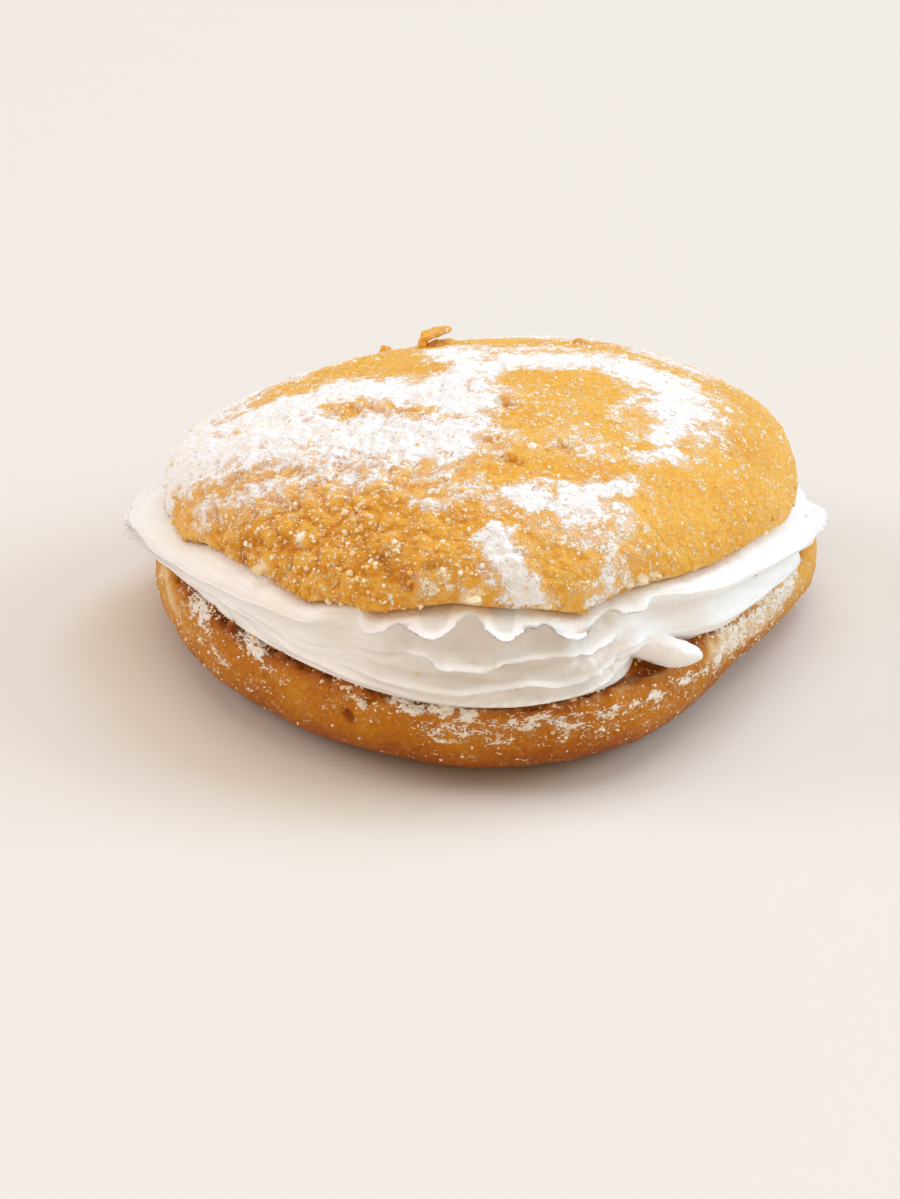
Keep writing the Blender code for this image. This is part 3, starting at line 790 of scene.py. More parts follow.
# (half width in mm, depth in mm, path of (turn, stage))
HEEL_CRACKS = (
    (0.45, 0.8, ((161.5, 2.9), (163, 2.6), (161.5, 2.4))),
    # this groove runs under the cream's foot, and its dark colour is mostly painted shadow of the
    # cream
    (0.8, 0.8, ((163, 2.86), (170, 2.88), (178, 2.84), (187, 2.88))),
    (0.7, 0.7, ((158.5, 2.14), (159, 2.08))),
    (0.6, 0.5, ((104, 2.9), (111, 2.88), (116, 2.93))),
    (0.6, 0.55, ((127, 2.92), (133, 2.9), (146, 2.95), (153, 2.93))),
    (1.2, 0.7, ((196, 2.95), (204, 2.85), (211, 2.95))),
    (0.8, 0.5, ((226, 2.9), (232, 2.82), (238, 2.9))),
    (0.9, 0.5, ((345, 2.95), (356, 2.85), (10, 2.95))),
)


HEEL_DRIFT = (1.2 * MM, 2.6 * MM)  # how far the edges of a patch wander, and over what size
GRAIN_SHARES = (0.55, 0.6, 1.2)  # of the grain: everywhere, then more in the sugar and at the rim
SMOOTH_STRETCHES = ((152, 9), (240, 30))  # (turn, half width)
SMOOTHED = 0.7  # how much of the grain is missing there
HEEL_FLAKES = (0.4 * MM, 1.8 * MM)  # height and size of the flakes of sugar
RIM_PATH = [(turn, 2.8) for turn in range(0, 361, 5)]
RIM_WIDTH = 1.3 * MM  # half width of the broken edge
RIM_STAGES = (2.82, 0.16)  # its stage and half width, for the relief
TORN_RIM = ((0.5 * MM, 2.4 * MM), (0.35 * MM, 1.1 * MM))
TORN_AT = (140, 45)  # the turn and half width where the rim is most torn


def on_heel(path):
    """Points of the smooth heel at places (turn, stage)."""
    turns, heights = np.array(path, float).T
    return heel_points(turns % 360, heights)


def heel_patches(points, strokes):
    """How strong the sugar or the pale crust is at each point of the heel."""
    return marked(drifted(points, *HEEL_DRIFT), strokes, on_heel, STROKE_POWER)


def heel_cracks(points):
    """How deep each point lies in the cracks, in millimetres."""
    return marked(points, HEEL_CRACKS, on_heel)


def torn_rim_and_shade(points):
    """1 on the broken edge under the cream, in patches, and 0 away from it. It is painted dark, partly
    as torn crust and partly as painted shadow of the cream.
    """
    away = path_distance(points, on_heel(RIM_PATH))
    patches = 0.35 + 0.4 * near(turn_of(points), *TORN_AT) + 0.5 * unevenness(points, 2.2 * MM)
    return bell(away, RIM_WIDTH) * np.clip(patches, 0, 1)


def heel_skin(turn, stage):
    """The heel's surface with all its relief."""
    points = heel_points(turn, stage)
    out = HEEL_LUMPS[0] * unevenness(points, HEEL_LUMPS[1])
    white = heel_patches(points, HEEL_DUSTED)
    rim = smooth((stage - 2.4) * 3)
    grain = layered(points, HEEL_GRAIN)
    grain = grain * (GRAIN_SHARES[0] + GRAIN_SHARES[1] * white + GRAIN_SHARES[2] * rim)
    smoothed = np.minimum(1, sum(near(turn, *place) for place in SMOOTH_STRETCHES))
    out = out + grain * (1 - SMOOTHED * smoothed)
    out = out + HEEL_FLAKES[0] * white * domes(points, HEEL_FLAKES[1])
    out = out - MM * heel_cracks(points)
    edge = bell(stage - RIM_STAGES[0], RIM_STAGES[1]) * (0.6 + 0.8 * near(turn, *TORN_AT))
    out = out + layered(points, TORN_RIM) * edge
    out = out * smooth((stage - 1) * 2) * smooth((3.2 - stage) * 4)
    tilt = np.radians(90) * np.clip(stage - 2, 0, 1)
    lean = placed(turn, np.cos(tilt), np.sin(tilt))
    return points + lean * out[..., None]


HEEL_STEPS = (4, 36, 60, 10)  # rings over the floor disc, up to the belly, to the rim, and the cut
HEEL_SEGMENTS = 820
heel = skinned("heel_crust", HEEL_SEGMENTS, HEEL_STEPS, heel_skin)
heel_vertices = points_of(heel)
store(heel, "dusting", heel_patches(heel_vertices, HEEL_DUSTED))
store(heel, "pale", heel_patches(heel_vertices, HEEL_PALE))
# Dark in the cracks and along the torn rim: partly darker crust, partly painted shadow of the cream
# above the rim.
store(heel, "crack", np.maximum(heel_cracks(heel_vertices), 0.9 * torn_rim_and_shade(heel_vertices)))
print("heel:", len(heel.data.polygons), "faces")

# %% [markdown]
# ## The piped cream
#
# The cream's wall runs from the heel to the lid. Piping leaves strands along it: a broad ridge at
# the left, a ruffled shelf at the front, ledges below it and two rolls at the right. Each strand is
# a crest that wanders along the wall and pushes it outwards, and its crest droops a little, which
# gives the soft undercut of whipped cream.

# %% Sizes of the cream
CLEARANCE = 0.35 * MM  # between the cream and each half
CREAM_FOOT = 0.955  # where its wall starts, as a share of the heel's radius
FRONT_FOOT = 0.03  # how much further out it starts at the front
FRONT_FOOT_AT = (174, 26)  # turn and half width
CREAM_BULGE = 0.8 * MM
RECESS = 5.5 * MM  # the cream stands back from the rim at the front right
RECESS_AT = (211.5, 6.5)  # turn and half width
EDGES = (0.05, 0.03)  # shares of the wall's height, at its foot and its head, where strands fade out
# Each strand is a path of (turn, level, reach in millimetres), where the level is 0 at the heel and
# 1 at the lid, then its thickness above and below the crest as shares of the wall's height, how far
# the crest droops as a share of its reach, and its fullness: 2 is a bell, more is squarer.
STRANDS = (
    # the broad ridge at the left, which ends in a fold at the far left
    (((60, 0.6, 0), (74, 0.75, 3.6), (88, 0.82, 5.0), (96, 0.78, 4.8), (106, 0.76, 4.0),
      (125, 0.74, 3.7), (137, 0.78, 3.4), (150, 0.84, 2.6), (160, 0.86, 0)), 0.22, 0.1, 0.12, 2),
    # the two folds below it at the far left
    (((68, 0.45, 0), (80, 0.5, 4.0), (91, 0.52, 5.1), (99, 0.48, 4.2), (112, 0.36, 1.8),
      (150, 0.34, 0)), 0.15, 0.1, 0.1, 3),
    (((72, 0.22, 0), (86, 0.2, 4.0), (95, 0.2, 5.2), (104, 0.18, 1.6),
      (128, 0.14, 0)), 0.13, 0.1, 0, 3),
    # the ruffled edge at the front: two waves, then two more from a second lip
    (((159, 0.9, 0), (162, 0.91, 2.6), (166.5, 0.99, 2.9), (172.5, 0.88, 4.0), (177.5, 1.02, 2.8),
      (182.7, 0.89, 4.1), (187, 1.0, 2.8), (189.5, 1.0, 0)), 0.22, 0.045, 0.34, 1.1),
    (((184, 1.0, 0), (187.5, 1.0, 2.6), (193, 0.96, 4.2), (199.5, 1.02, 3.6), (204.5, 0.92, 3.0),
      (208, 0.88, 0)), 0.22, 0.05, 0.34, 1.1),
    # the rough ledge half way up the front
    (((166, 0.58, 0), (170.5, 0.6, 1.8), (174, 0.5, 2.4), (179.5, 0.48, 2.1), (183, 0.55, 1.3),
      (188, 0.58, 1.2), (193, 0.66, 2.6), (198, 0.68, 2.4), (203, 0.62, 0)), 0.14, 0.04, 0.3, 1.2),
    # the thin ridges at the foot of the front
    (((158, 0.24, 0), (166, 0.22, 1.2), (174, 0.2, 1.9), (182, 0.27, 1.9), (186, 0.31, 2.1),
      (191, 0.25, 1.9), (197, 0.32, 1.9), (202, 0.36, 0)), 0.09, 0.035, 0.3, 1.2),
    (((140, 0.16, 0), (158, 0.1, 0.8), (176, 0.06, 1.0), (191, 0.05, 1.1), (198, 0.12, 1.0),
      (202, 0.14, 0)), 0.05, 0.04, 0, 2),
    # the two rolls at the right
    (((203, 0.93, 0), (208, 0.93, 1.9), (216, 0.86, 2.7), (226, 0.82, 3.0), (240, 0.76, 3.2),
      (254, 0.7, 3.5), (263, 0.62, 3.8), (269, 0.55, 3.4), (276, 0.55, 0.9), (290, 0.6, 0)),
     0.2, 0.14, 0.12, 4),
    (((198, 0.45, 0), (205, 0.44, 1.9), (214, 0.34, 3.1), (222, 0.38, 3.4), (238, 0.37, 3.4),
      (252, 0.33, 3.1), (261, 0.34, 1.0), (267, 0.34, 0)), 0.16, 0.16, 0.15, 4),
    # the ruffled edge and the rolls below it, on round the back
    (((284, 0.9, 0), (292, 0.92, 2.0), (299, 0.83, 2.9), (307, 0.93, 2.1), (315, 0.82, 3.0),
      (323, 0.92, 2.2), (333, 0.84, 2.8), (342, 0.92, 2.1), (350, 0.82, 3.0), (360, 0.9, 2.2),
      (370, 0.82, 2.9), (381, 0.92, 2.2), (390, 0.84, 2.8), (401, 0.9, 2.1), (412, 0.85, 2.4),
      (424, 0.8, 0)), 0.24, 0.06, 0.3, 2),
    (((278, 0.3, 0), (298, 0.42, 1.8), (320, 0.34, 2.4), (345, 0.4, 2.2), (370, 0.33, 2.4),
      (396, 0.42, 2.0), (420, 0.36, 1.6), (440, 0.4, 0)), 0.16, 0.12, 0.2, 3),
)

# %% [markdown]
# A strand pushes the wall out most at its crest, and less above and below. `eased` draws the waves of
# the crest from the few points of its path. A strand that runs on past the back is looked up a second
# time, a full turn on. The foot and the head of the wall stay put, so the cream meets both halves.

# %% Where a strand carries the wall
def eased(value, places, amounts):
    """Between the given amounts, level at each of their places: it draws waves from a few points."""
    number = np.interp(value, places, np.arange(len(places)))
    before = np.clip(number.astype(int), 0, len(places) - 2)
    amounts = np.asarray(amounts)
    return amounts[before] + (amounts[before + 1] - amounts[before]) * smooth(number - before)


def strand(turn, level, path, above, below, droop, fullness):
    """How far out and how far down one strand carries the wall."""
    turns, levels, reaches = np.array(path).T
    crest = eased(turn, turns, levels)
    side = np.where(level > crest, above, below)
    out = eased(turn, turns, reaches) * MM * bell(level - crest, side, fullness)
    return out, droop * out


def cream_points(turn, stage):
    """Stage 0 to 1 is the bottom face, 1 to 2 the wall, 2 to 3 the top face."""
    foot = (CREAM_FOOT + FRONT_FOOT * near(turn, *FRONT_FOOT_AT)) * heel_radius(turn)
    foot = foot - RECESS * near(turn, *RECESS_AT)
    head = lid_radius(turn) - LID_TUCK
    level = np.clip(stage - 1, 0, 1)
    low = placed(turn, foot, cut_height(turn, foot) + CLEARANCE)
    high = lid_to_world(placed(turn, head, underside_height(turn, head) - CLEARANCE))
    out = CREAM_BULGE * np.sin(np.pi * level)
    down = 0 * out
    for shape in STRANDS:
        for once_round in (0, 360):
            more_out, more_down = strand(turn + once_round, level, *shape)
            out = out + more_out
            down = down + more_down
    held = smooth(level / EDGES[0]) * smooth((1 - level) / EDGES[1])
    wall = low + (high - low) * level[..., None]
    wall = wall + placed(turn, out * held, -down * held)
    floor_radius = foot * stage
    bottom = placed(turn, floor_radius, cut_height(turn, floor_radius) + CLEARANCE)
    top_radius = head * (3 - stage)
    top = lid_to_world(placed(turn, top_radius, underside_height(turn, top_radius) - CLEARANCE))
    points = np.where((stage < 1)[..., None], bottom, wall)
    return np.where((stage > 2)[..., None], top, points)


# %% [markdown]
# Up close the cream is not glassy: the nozzle drew fine lines along it, and where it tore it is
# ragged. Noise on the unrolled wall gives the lines and folds, since its lumps can be long round the
# bun and short up the wall. Ragged places are named by their turn and level.

# %% Relief of the cream, its tongue and its lumps
CREAM_SOFTNESS = (0.22 * MM, 5 * MM)  # height and size
CREAM_LINES = 0.12 * MM
LINES = (9, 16)  # degrees along a line, and lines up the wall
CREAM_FOLDS = 0.85 * MM
FOLDS = (16, 4.5, 0.02)  # degrees along a fold, folds up the wall, and how they slant
FOLDED_AT = (180, 30)  # turn and half width where the cream is most folded
PAINTED_SHADE_AT = (182, 22)  # turn and half width of the painted shade on the front of the cream
# (turn, half width, level, half height)
RAGGED = (
    (173.5, 3.5, 0.56, 0.07),
    (180.5, 2.2, 0.5, 0.06),
    (194, 3.5, 0.68, 0.07),
    (196, 3.0, 0.46, 0.06),
    (199, 4.0, 0.28, 0.08),
    (180, 12, 0.1, 0.1),
    (90, 11, 0.6, 0.5),
    (90, 11, 0.3, 0.3),
    (266, 8, 0.6, 0.3),
    (322, 6, 0.5, 0.2),
    (18, 7, 0.5, 0.2),
)
RAGGED_HEIGHT = 0.8 * MM
# The thin lip along each strand: its half thickness as a share of the wall's height, and how far it
# stands out and up as shares of the strand's reach, which counts up to the last number in millimetres
LIP = (0.045, 0.22, 0.2, 3.6)


def cream_lips(turn, level):
    """How strong the lip of a strand is at each point: its reach in metres, 0 away from a crest."""
    total = 0 * turn
    for path, *_ in STRANDS:
        turns, levels, reaches = np.array(path).T
        for once_round in (0, 360):
            away = level - eased(turn + once_round, turns, levels)
            reach = np.minimum(eased(turn + once_round, turns, reaches), LIP[3]) * MM
            total = total + reach * bell(away, LIP[0])
    return total


def cream_torn(turn, level):
    """1 where the cream is torn, 0 where it is smooth."""
    total = 0 * turn
    for at, wide, middle, high in RAGGED:
        total = total + near(turn, at, wide) * bell(level - middle, high)
    return np.clip(total, 0, 1)


def cream_painted_shade(turn, stage):
    """1 on the front wall of the cream, which is painted greyer as shade where it lies back under the
    lid and the lips; the lips and torn places are left out.
    """
    level = np.clip(stage - 1, 0, 1)
    front = near(turn, *PAINTED_SHADE_AT)
    lips_and_torn = np.maximum(cream_lips(turn, level) / (1.3 * MM), cream_torn(turn, level))
    return front * (1 - np.clip(lips_and_torn, 0, 1))


def unrolled(turn, level, along, up, slant=0.0):
    """Places for noise on the flat, unrolled wall of the cream: its lumps are some degrees long, and
    there are some of them up the wall."""
    return np.stack([turn / along, level * up + slant * turn, 0 * turn], axis=-1)


def cream_skin(turn, stage):
    """The cream's surface with all its relief."""
    points = cream_points(turn, stage)
    level = np.clip(stage - 1, 0, 1)
    out = CREAM_SOFTNESS[0] * unevenness(points, CREAM_SOFTNESS[1])
    out = out + CREAM_LINES * unevenness(unrolled(turn, level, *LINES), 1)
    deep = (0.3 + 0.7 * near(turn, *FOLDED_AT)) * smooth((0.75 - level) * 4)
    out = out + CREAM_FOLDS * deep * (domes(unrolled(turn, level, *FOLDS), 1) - 0.7)
    torn = cream_torn(turn, level)
    out = out + torn * RAGGED_HEIGHT * (0.4 + unevenness(points, 1.1 * MM))
    held = smooth(np.minimum(level, 1 - level) / 0.1)
    lips = cream_lips(turn, level)
    return points + placed(turn, (out + LIP[1] * lips) * held, LIP[2] * lips * held)


# A lobe of cream that has slid out on to the rim: (turn, distance, height) along it
TONGUE = ((203, 43.0, 17.7), (208, 46.8, 17.2), (212, 49.8, 15.9), (213.8, 51.3, 14.6))
TONGUE_SIZE = (4.6, 6.4)  # thickness and depth in millimetres
# Lumps of cream squeezed out at the two sides: (turn, distance, height) and (round, out, up) sizes
DOLLOPS = (
    ((93, 47.7, 17.3), (15, 8.2, 2.8)),
    ((89, 47.3, 16.2), (13, 8.0, 2.4)),
)
DOLLOP_LUMPS = (0.15, 0.9)  # height and size of their unevenness, as shares of their half size
# The feathered end of the cream at the right: paths of (turn, distance, height) in millimetres
TIPS = (
    ((255, 46.0, 18.4), (261, 48.8, 18.4), (266, 51.6, 19.4)),
    ((257, 46.5, 16.4), (263, 48.8, 16.4), (268, 51.4, 17.2)),
)
TIP_SIZE = (3.2, 3.8)  # thickness and depth in millimetres


def dollop(place, size):
    """A lump of cream: its place is (turn, distance, height) and its size (round, out, up), in
    millimetres."""
    turn, distance, height = place
    middle = placed(np.array([turn]), np.array([distance * MM]), np.array([height * MM]))[0]
    out = placed(np.array([turn]), np.array([1]), np.array([0]))[0]
    along = np.array((out[1], -out[0], 0))
    halves = np.array(size) * MM / 2

    def shape(around, share):
        x, y, z = (lumpy_ball(around, share, middle, *DOLLOP_LUMPS) * halves).T
        points = middle + x[:, None] * along + y[:, None] * out + z[:, None] * np.array((0, 0, 1))
        return points + 0.18 * MM * unevenness(points, 1.2 * MM)[:, None] * out

    return round_body("dollop", segments=48, rings=30, place=shape)


CREAM_STEPS = (3, 66, 3)  # rings over the bottom face, the wall and the top face
CREAM_SEGMENTS = 1220
cream = skinned("cream_filling", CREAM_SEGMENTS, CREAM_STEPS, cream_skin)
turns, shares = globe_places(CREAM_SEGMENTS, sum(CREAM_STEPS))
# How much painted shade greys each point of the cream's front wall.
smeared = cream_painted_shade(turns, stages(shares, CREAM_STEPS))
store(cream, "smeared", smeared)


def cream_strip(name, path, size, bluntness, ragged):
    """A strip of cream through places (turn, distance, height), all in millimetres."""
    turn, distance, height = np.array(path, float).T
    side = placed(turn[1] + 90, 1, 0 * turn[1])
    thickness, depth = (value * MM for value in size)
    path = placed(turn, distance, height) * MM
    return strip(
        name, path, side, thickness, depth, segments=60, rings=50, bluntness=bluntness, ragged=ragged
    )


tongue = cream_strip("tongue", TONGUE, TONGUE_SIZE, bluntness=5, ragged=0.04)
tips = [cream_strip("tip", path, TIP_SIZE, bluntness=2, ragged=0.12) for path in TIPS]
fuse(cream, [tongue, *tips, *(dollop(*shape) for shape in DOLLOPS)])
print("cream:", len(cream.data.polygons), "faces, smeared share:", round(float(smeared.mean()), 3))

# %% [markdown]
# ## Sugar crystals
#
# Syrup has rounded the grains of sugar, so each crystal is a pebble: a solid of twenty triangles
# with its corners jittered, turned at random and half sunk in the crust. Thousands of them share one
# mesh, which is far lighter than thousands of objects. The largest ones have chosen places, the rest
# fall by chance, thicker where the crust is rough.

# %% Scatter pebbles of sugar
GOLDEN = (1 + 5**0.5) / 2
corners = np.array([(0, a, b * GOLDEN) for a in (-1, 1) for b in (-1, 1)])
corners = np.concatenate([np.roll(corners, turn, axis=1) for turn in range(3)])
corners = corners / np.linalg.norm(corners[0]) / 2


def nearest_triples(corners):
    """The faces of a solid with triangles only: each three corners that are one edge apart, in the
    order that makes the face look outwards."""
    apart = np.linalg.norm(corners[:, None] - corners[None], axis=-1)
    edge = apart[apart > 0].min() * 1.01
    faces = []
    for a, b, c in itertools.combinations(range(len(corners)), 3):
        if max(apart[a, b], apart[b, c], apart[a, c]) < edge:
            outward = np.cross(corners[b] - corners[a], corners[c] - corners[a]) @ corners[a]
            faces.append((a, b, c) if outward > 0 else (a, c, b))
    return faces


PEBBLE = (corners, nearest_triples(corners))
print("a pebble of sugar has", len(PEBBLE[1]), "faces")


def turned(count, chance):
    """A random rotation for each of many pieces."""
    axes = chance.normal(size=(count, 4))
    axes /= np.linalg.norm(axes, axis=1, keepdims=True)
    w, x, y, z = axes.T
    return np.stack([
        np.stack([1 - 2 * (y * y + z * z), 2 * (x * y - z * w), 2 * (x * z + y * w)], -1),
        np.stack([2 * (x * y + z * w), 1 - 2 * (x * x + z * z), 2 * (y * z - x * w)], -1),
        np.stack([2 * (x * z - y * w), 2 * (y * z + x * w), 1 - 2 * (x * x + y * y)], -1),
    ], 1)


def scattered(name, shape, places, widths, jitter, seed):
    """One mesh that holds a copy of a small shape at each place, turned at random, with its corners
    moved by the jitter. Each copy has a number from 0 to 1 as its tint."""
    chance = np.random.default_rng(seed)
    corners, faces = shape
    count = len(places)
    shapes = corners + chance.normal(scale=jitter, size=(count, len(corners), 3))
    shapes = shapes * chance.uniform(0.7, 1.15, (count, 1, 3)) * np.asarray(widths)[:, None, None]
    points = np.einsum("nij,nkj->nki", turned(count, chance), shapes) + places[:, None, :]
    offsets = np.arange(count)[:, None, None] * len(corners)
    mesh = bpy.data.meshes.new(name)
    corners_of_faces = (np.array(faces) + offsets).reshape(-1, len(faces[0]))
    mesh.from_pydata(points.reshape(-1, 3).tolist(), [], corners_of_faces.tolist())
    mesh.update()
    piece = bpy.data.objects.new(name, mesh)
    bpy.context.scene.collection.objects.link(piece)
    store(piece, "tint", np.repeat(chance.uniform(0, 1, count), len(corners)))
    return piece


def spread(count, chance, surface, first, last, chosen):
    """Random places (turn, stage) on a surface, even over its area, and kept where chosen says."""
    steps = np.linspace(first, last, 400)
    profile = surface(np.full(400, 180.0), steps)
    length = np.linalg.norm(np.diff(profile, axis=0), axis=1)
    area = np.concatenate([[0], np.cumsum(length * np.hypot(profile[1:, 0], profile[1:, 1]))])
    stage = np.interp(chance.uniform(0, area[-1], count), area, steps)
    turn = chance.uniform(0, 360, count)
    kept = chance.uniform(0, 1, count) < chosen(turn, stage)
    return turn[kept], stage[kept]


def widths_of(count, chance, middle, spread_out, least, most):
    """Random widths, of which small ones are commoner than large ones."""
    return chance.lognormal(math.log(middle), spread_out, count).clip(least, most) * MM


# %% [markdown]
# Coarse crystals stick mostly to the granular front left of the lid, and powder buries them where it
# lies thick. So many places are tried at random over the dome, and each is kept with a chance that
# depends on the roughness and the powder there.

# %% Crystals on the lid
DOME_STAGES = (2.02, 3)  # where grains lie on the lid
# The largest, one by one: (turn, distance, width in mm)
BIG_CRYSTALS = (
    (146.5, 45.9, 2.1), (156, 48.9, 1.4), (157.8, 49.1, 1.3), (158, 37.4, 1.5), (169, 40.7, 1.5),
    (217.5, 23.2, 1.5), (203.5, 26.2, 1.4), (207.5, 26.6, 1.3), (227, 24.3, 1.3), (211, 33.7, 1.3),
    (252.5, 39.3, 1.1), (263, 41.9, 1.1),
    (145, 38.6, 1.4), (168, 49.3, 1.1), (132, 42.8, 1.4), (163.5, 42.9, 1.1), (193.5, 26.9, 1.6),
    (216.5, 30.6, 1.5), (202.5, 34.3, 1.2), (219.5, 19.8, 1.2), (161, 33.5, 1.4), (171, 34.8, 1.3),
    (153, 42.5, 1.2), (175, 38.2, 1.3), (139, 44.3, 1.2), (227, 21.5, 1.1), (205, 17.5, 1.1),
)
CRYSTAL_TRIES = 21000
CRYSTAL_WIDTH = (0.44, 0.42, 0.2, 1.15)  # middle, spread, least and most, in millimetres
CRYSTAL_SUNK = 0.1  # how deep its middle lies under the skin, as a share of its width


def crystal_share(turn, stage):
    """How many of the crystals tried at a place stay there. Powder buries them."""
    points = lid_points(turn, stage)
    patch = 0.5 + 0.6 * unevenness(points, 4 * MM)
    buried = 1 - 0.94 * smooth(1.4 * lid_dusting(points))
    return (0.13 + 0.6 * lid_roughness(turn)) * (0.35 + patch) * buried


chance = np.random.default_rng(11)
turn, stage = spread(CRYSTAL_TRIES, chance, lid_points, *DOME_STAGES, crystal_share)
big_turn, big_distance, big_width = np.array(BIG_CRYSTALS).T
widths = np.concatenate([big_width * MM, widths_of(len(turn), chance, *CRYSTAL_WIDTH)])
turn = np.concatenate([big_turn, turn])
stage = np.concatenate([lid_stage(big_turn, big_distance * MM), stage])
places = lid_skin(turn, stage)
places = places - outward_of(places, -LID_LIFT) * (CRYSTAL_SUNK * widths)[:, None]
crystals = scattered("sugar_crystals", PEBBLE, places, widths, jitter=0.06, seed=12)
crystals.data.shade_smooth()
print("crystals:", len(places))

# %% [markdown]
# Powdered sugar is much finer. The material paints most of it, and the single grains that stand out
# are real: small octahedra, commonest where the dusting is thick. The same shape, smaller and
# shinier, gives the broken bits of crystal that glint all over the glaze.

# %% Powder and glints on the lid
OCTAHEDRON = (
    np.array([(1, 0, 0), (-1, 0, 0), (0, 1, 0), (0, -1, 0), (0, 0, 1), (0, 0, -1)]) / 2,
    ((0, 2, 4), (2, 1, 4), (1, 3, 4), (3, 0, 4), (2, 0, 5), (1, 2, 5), (3, 1, 5), (0, 3, 5)),
)
POWDER_TRIES = 60000
POWDER_WIDTH = (0.14, 0.36)  # least and most, in millimetres
POWDER_LIFT = 0.06 * MM  # how far above the skin its middle lies
GLINT_TRIES = 30000
GLINT_WIDTH = (0.1, 0.24)


def powder_share(turn, stage):
    """How many of the grains tried at a place stay there."""
    points = lid_points(turn, stage)
    clumps = 0.5 + 0.6 * unevenness(points, 1.6 * MM)
    return 0.004 + 0.36 * lid_dusting(points) * clumps


def glint_share(turn, stage):
    """The same for glints, which are commoner where the lid is rough and not buried in powder."""
    points = lid_points(turn, stage)
    rough = 0.35 + 0.65 * lid_roughness(turn)
    bare = 1 - 0.7 * smooth(lid_dusting(points))
    return rough * (0.3 + 0.25 * unevenness(points, 2 * MM)) * bare


def grains_on_lid(name, tries, share, width, lift, **choices):
    """Small grains on the lid, as many as the share leaves of the tries. They take their draws from
    one row of random numbers, so their order matters."""
    turn, stage = spread(tries, chance, lid_points, *DOME_STAGES, share)
    widths = chance.uniform(*width, len(turn)) * MM
    print(name, len(widths))
    return scattered(name, OCTAHEDRON, lid_skin(turn, stage) + (0, 0, lift), widths, **choices)


chance = np.random.default_rng(21)
powder = grains_on_lid(
    "powdered_sugar", POWDER_TRIES, powder_share, POWDER_WIDTH, POWDER_LIFT, jitter=0.12, seed=22
)
glints = grains_on_lid(
    "sugar_glints", GLINT_TRIES, glint_share, GLINT_WIDTH, lift=0, jitter=0.1, seed=23
)

# %% [markdown]
# The heel has sugar too, in the patches where syrup ran down, and crumbs of crust have fallen along
# the torn edges: under the lid's lip, along the foot of the cream, and a few on the cream itself.

# %% Sugar on the heel, and crumbs
HEEL_SUGAR_TRIES = 24000
HEEL_SUGAR_STAGES = (1.7, 3)
HEEL_SUGAR_WIDTH = (0.34, 0.4, 0.16, 0.8)  # middle, spread, least and most, in millimetres
CRUMB_TRIES = 9000
CRUMB_STAGES = (2.75, 3.08)
CRUMB_WIDTH = (0.5, 0.4, 0.22, 1.2)
LIP_CRUMBS = 160
LIP_CRUMBS_AT = (165, 45)  # the middle turn of the crumbs under the lid's lip, and their spread
LIP_CRUMB_STAGES = (1.5, 2.1)
# Yellow crumbs on the cream: (turn, level, width in mm)
CREAM_CRUMBS = (
    (169.5, 0.33, 0.7),
    (184.5, 0.2, 0.6),
    (232, 0.75, 0.4),
    (224, 0.28, 0.5),
    (156, 0.5, 0.35),
)


def heel_sugar_share(turn, stage):
    """How many of the grains tried at a place of the heel stay there."""
    points = heel_points(turn, stage)
    return 0.02 + 0.32 * np.clip(heel_patches(points, HEEL_DUSTED), 0, 1)


def crumb_share(turn, stage):
    """The same for crumbs at the foot of the cream, which are commonest at the front left."""
    patch = 0.5 + unevenness(heel_points(turn, stage), 3 * MM)
    return (0.05 + 0.12 * near(turn, 150, 50)) * patch


chance = np.random.default_rng(31)
turn, stage = spread(HEEL_SUGAR_TRIES, chance, heel_points, *HEEL_SUGAR_STAGES, heel_sugar_share)
sugar_widths = widths_of(len(turn), chance, *HEEL_SUGAR_WIDTH)
heel_sugar = scattered(
    "heel_sugar", OCTAHEDRON, heel_skin(turn, stage), sugar_widths, jitter=0.1, seed=32
)

turn, stage = spread(CRUMB_TRIES, chance, heel_points, *CRUMB_STAGES, crumb_share)
lip_turn = chance.normal(*LIP_CRUMBS_AT, LIP_CRUMBS)
lip = lid_skin(lip_turn, chance.uniform(*LIP_CRUMB_STAGES, LIP_CRUMBS))
crumb_turn, level, crumb_width = np.array(CREAM_CRUMBS).T
on_cream = cream_skin(crumb_turn, 1 + level)
places = np.concatenate([heel_skin(turn, stage), lip, on_cream])
widths = widths_of(len(turn) + LIP_CRUMBS, chance, *CRUMB_WIDTH)
widths = np.concatenate([widths, crumb_width * MM])
crumbs = scattered("crust_crumbs", PEBBLE, places, widths, jitter=0.13, seed=33)
print("sugar on the heel:", len(sugar_widths), "crumbs:", len(widths))

# %% [markdown]
# ## A way to write materials
#
# Shader maths reads best as plain expressions. `Wire` wraps the output of a node: adding,
# subtracting or multiplying wires adds Math nodes. `Wire.node` makes any other node from its type,
# its settings and the values or links of its sockets.

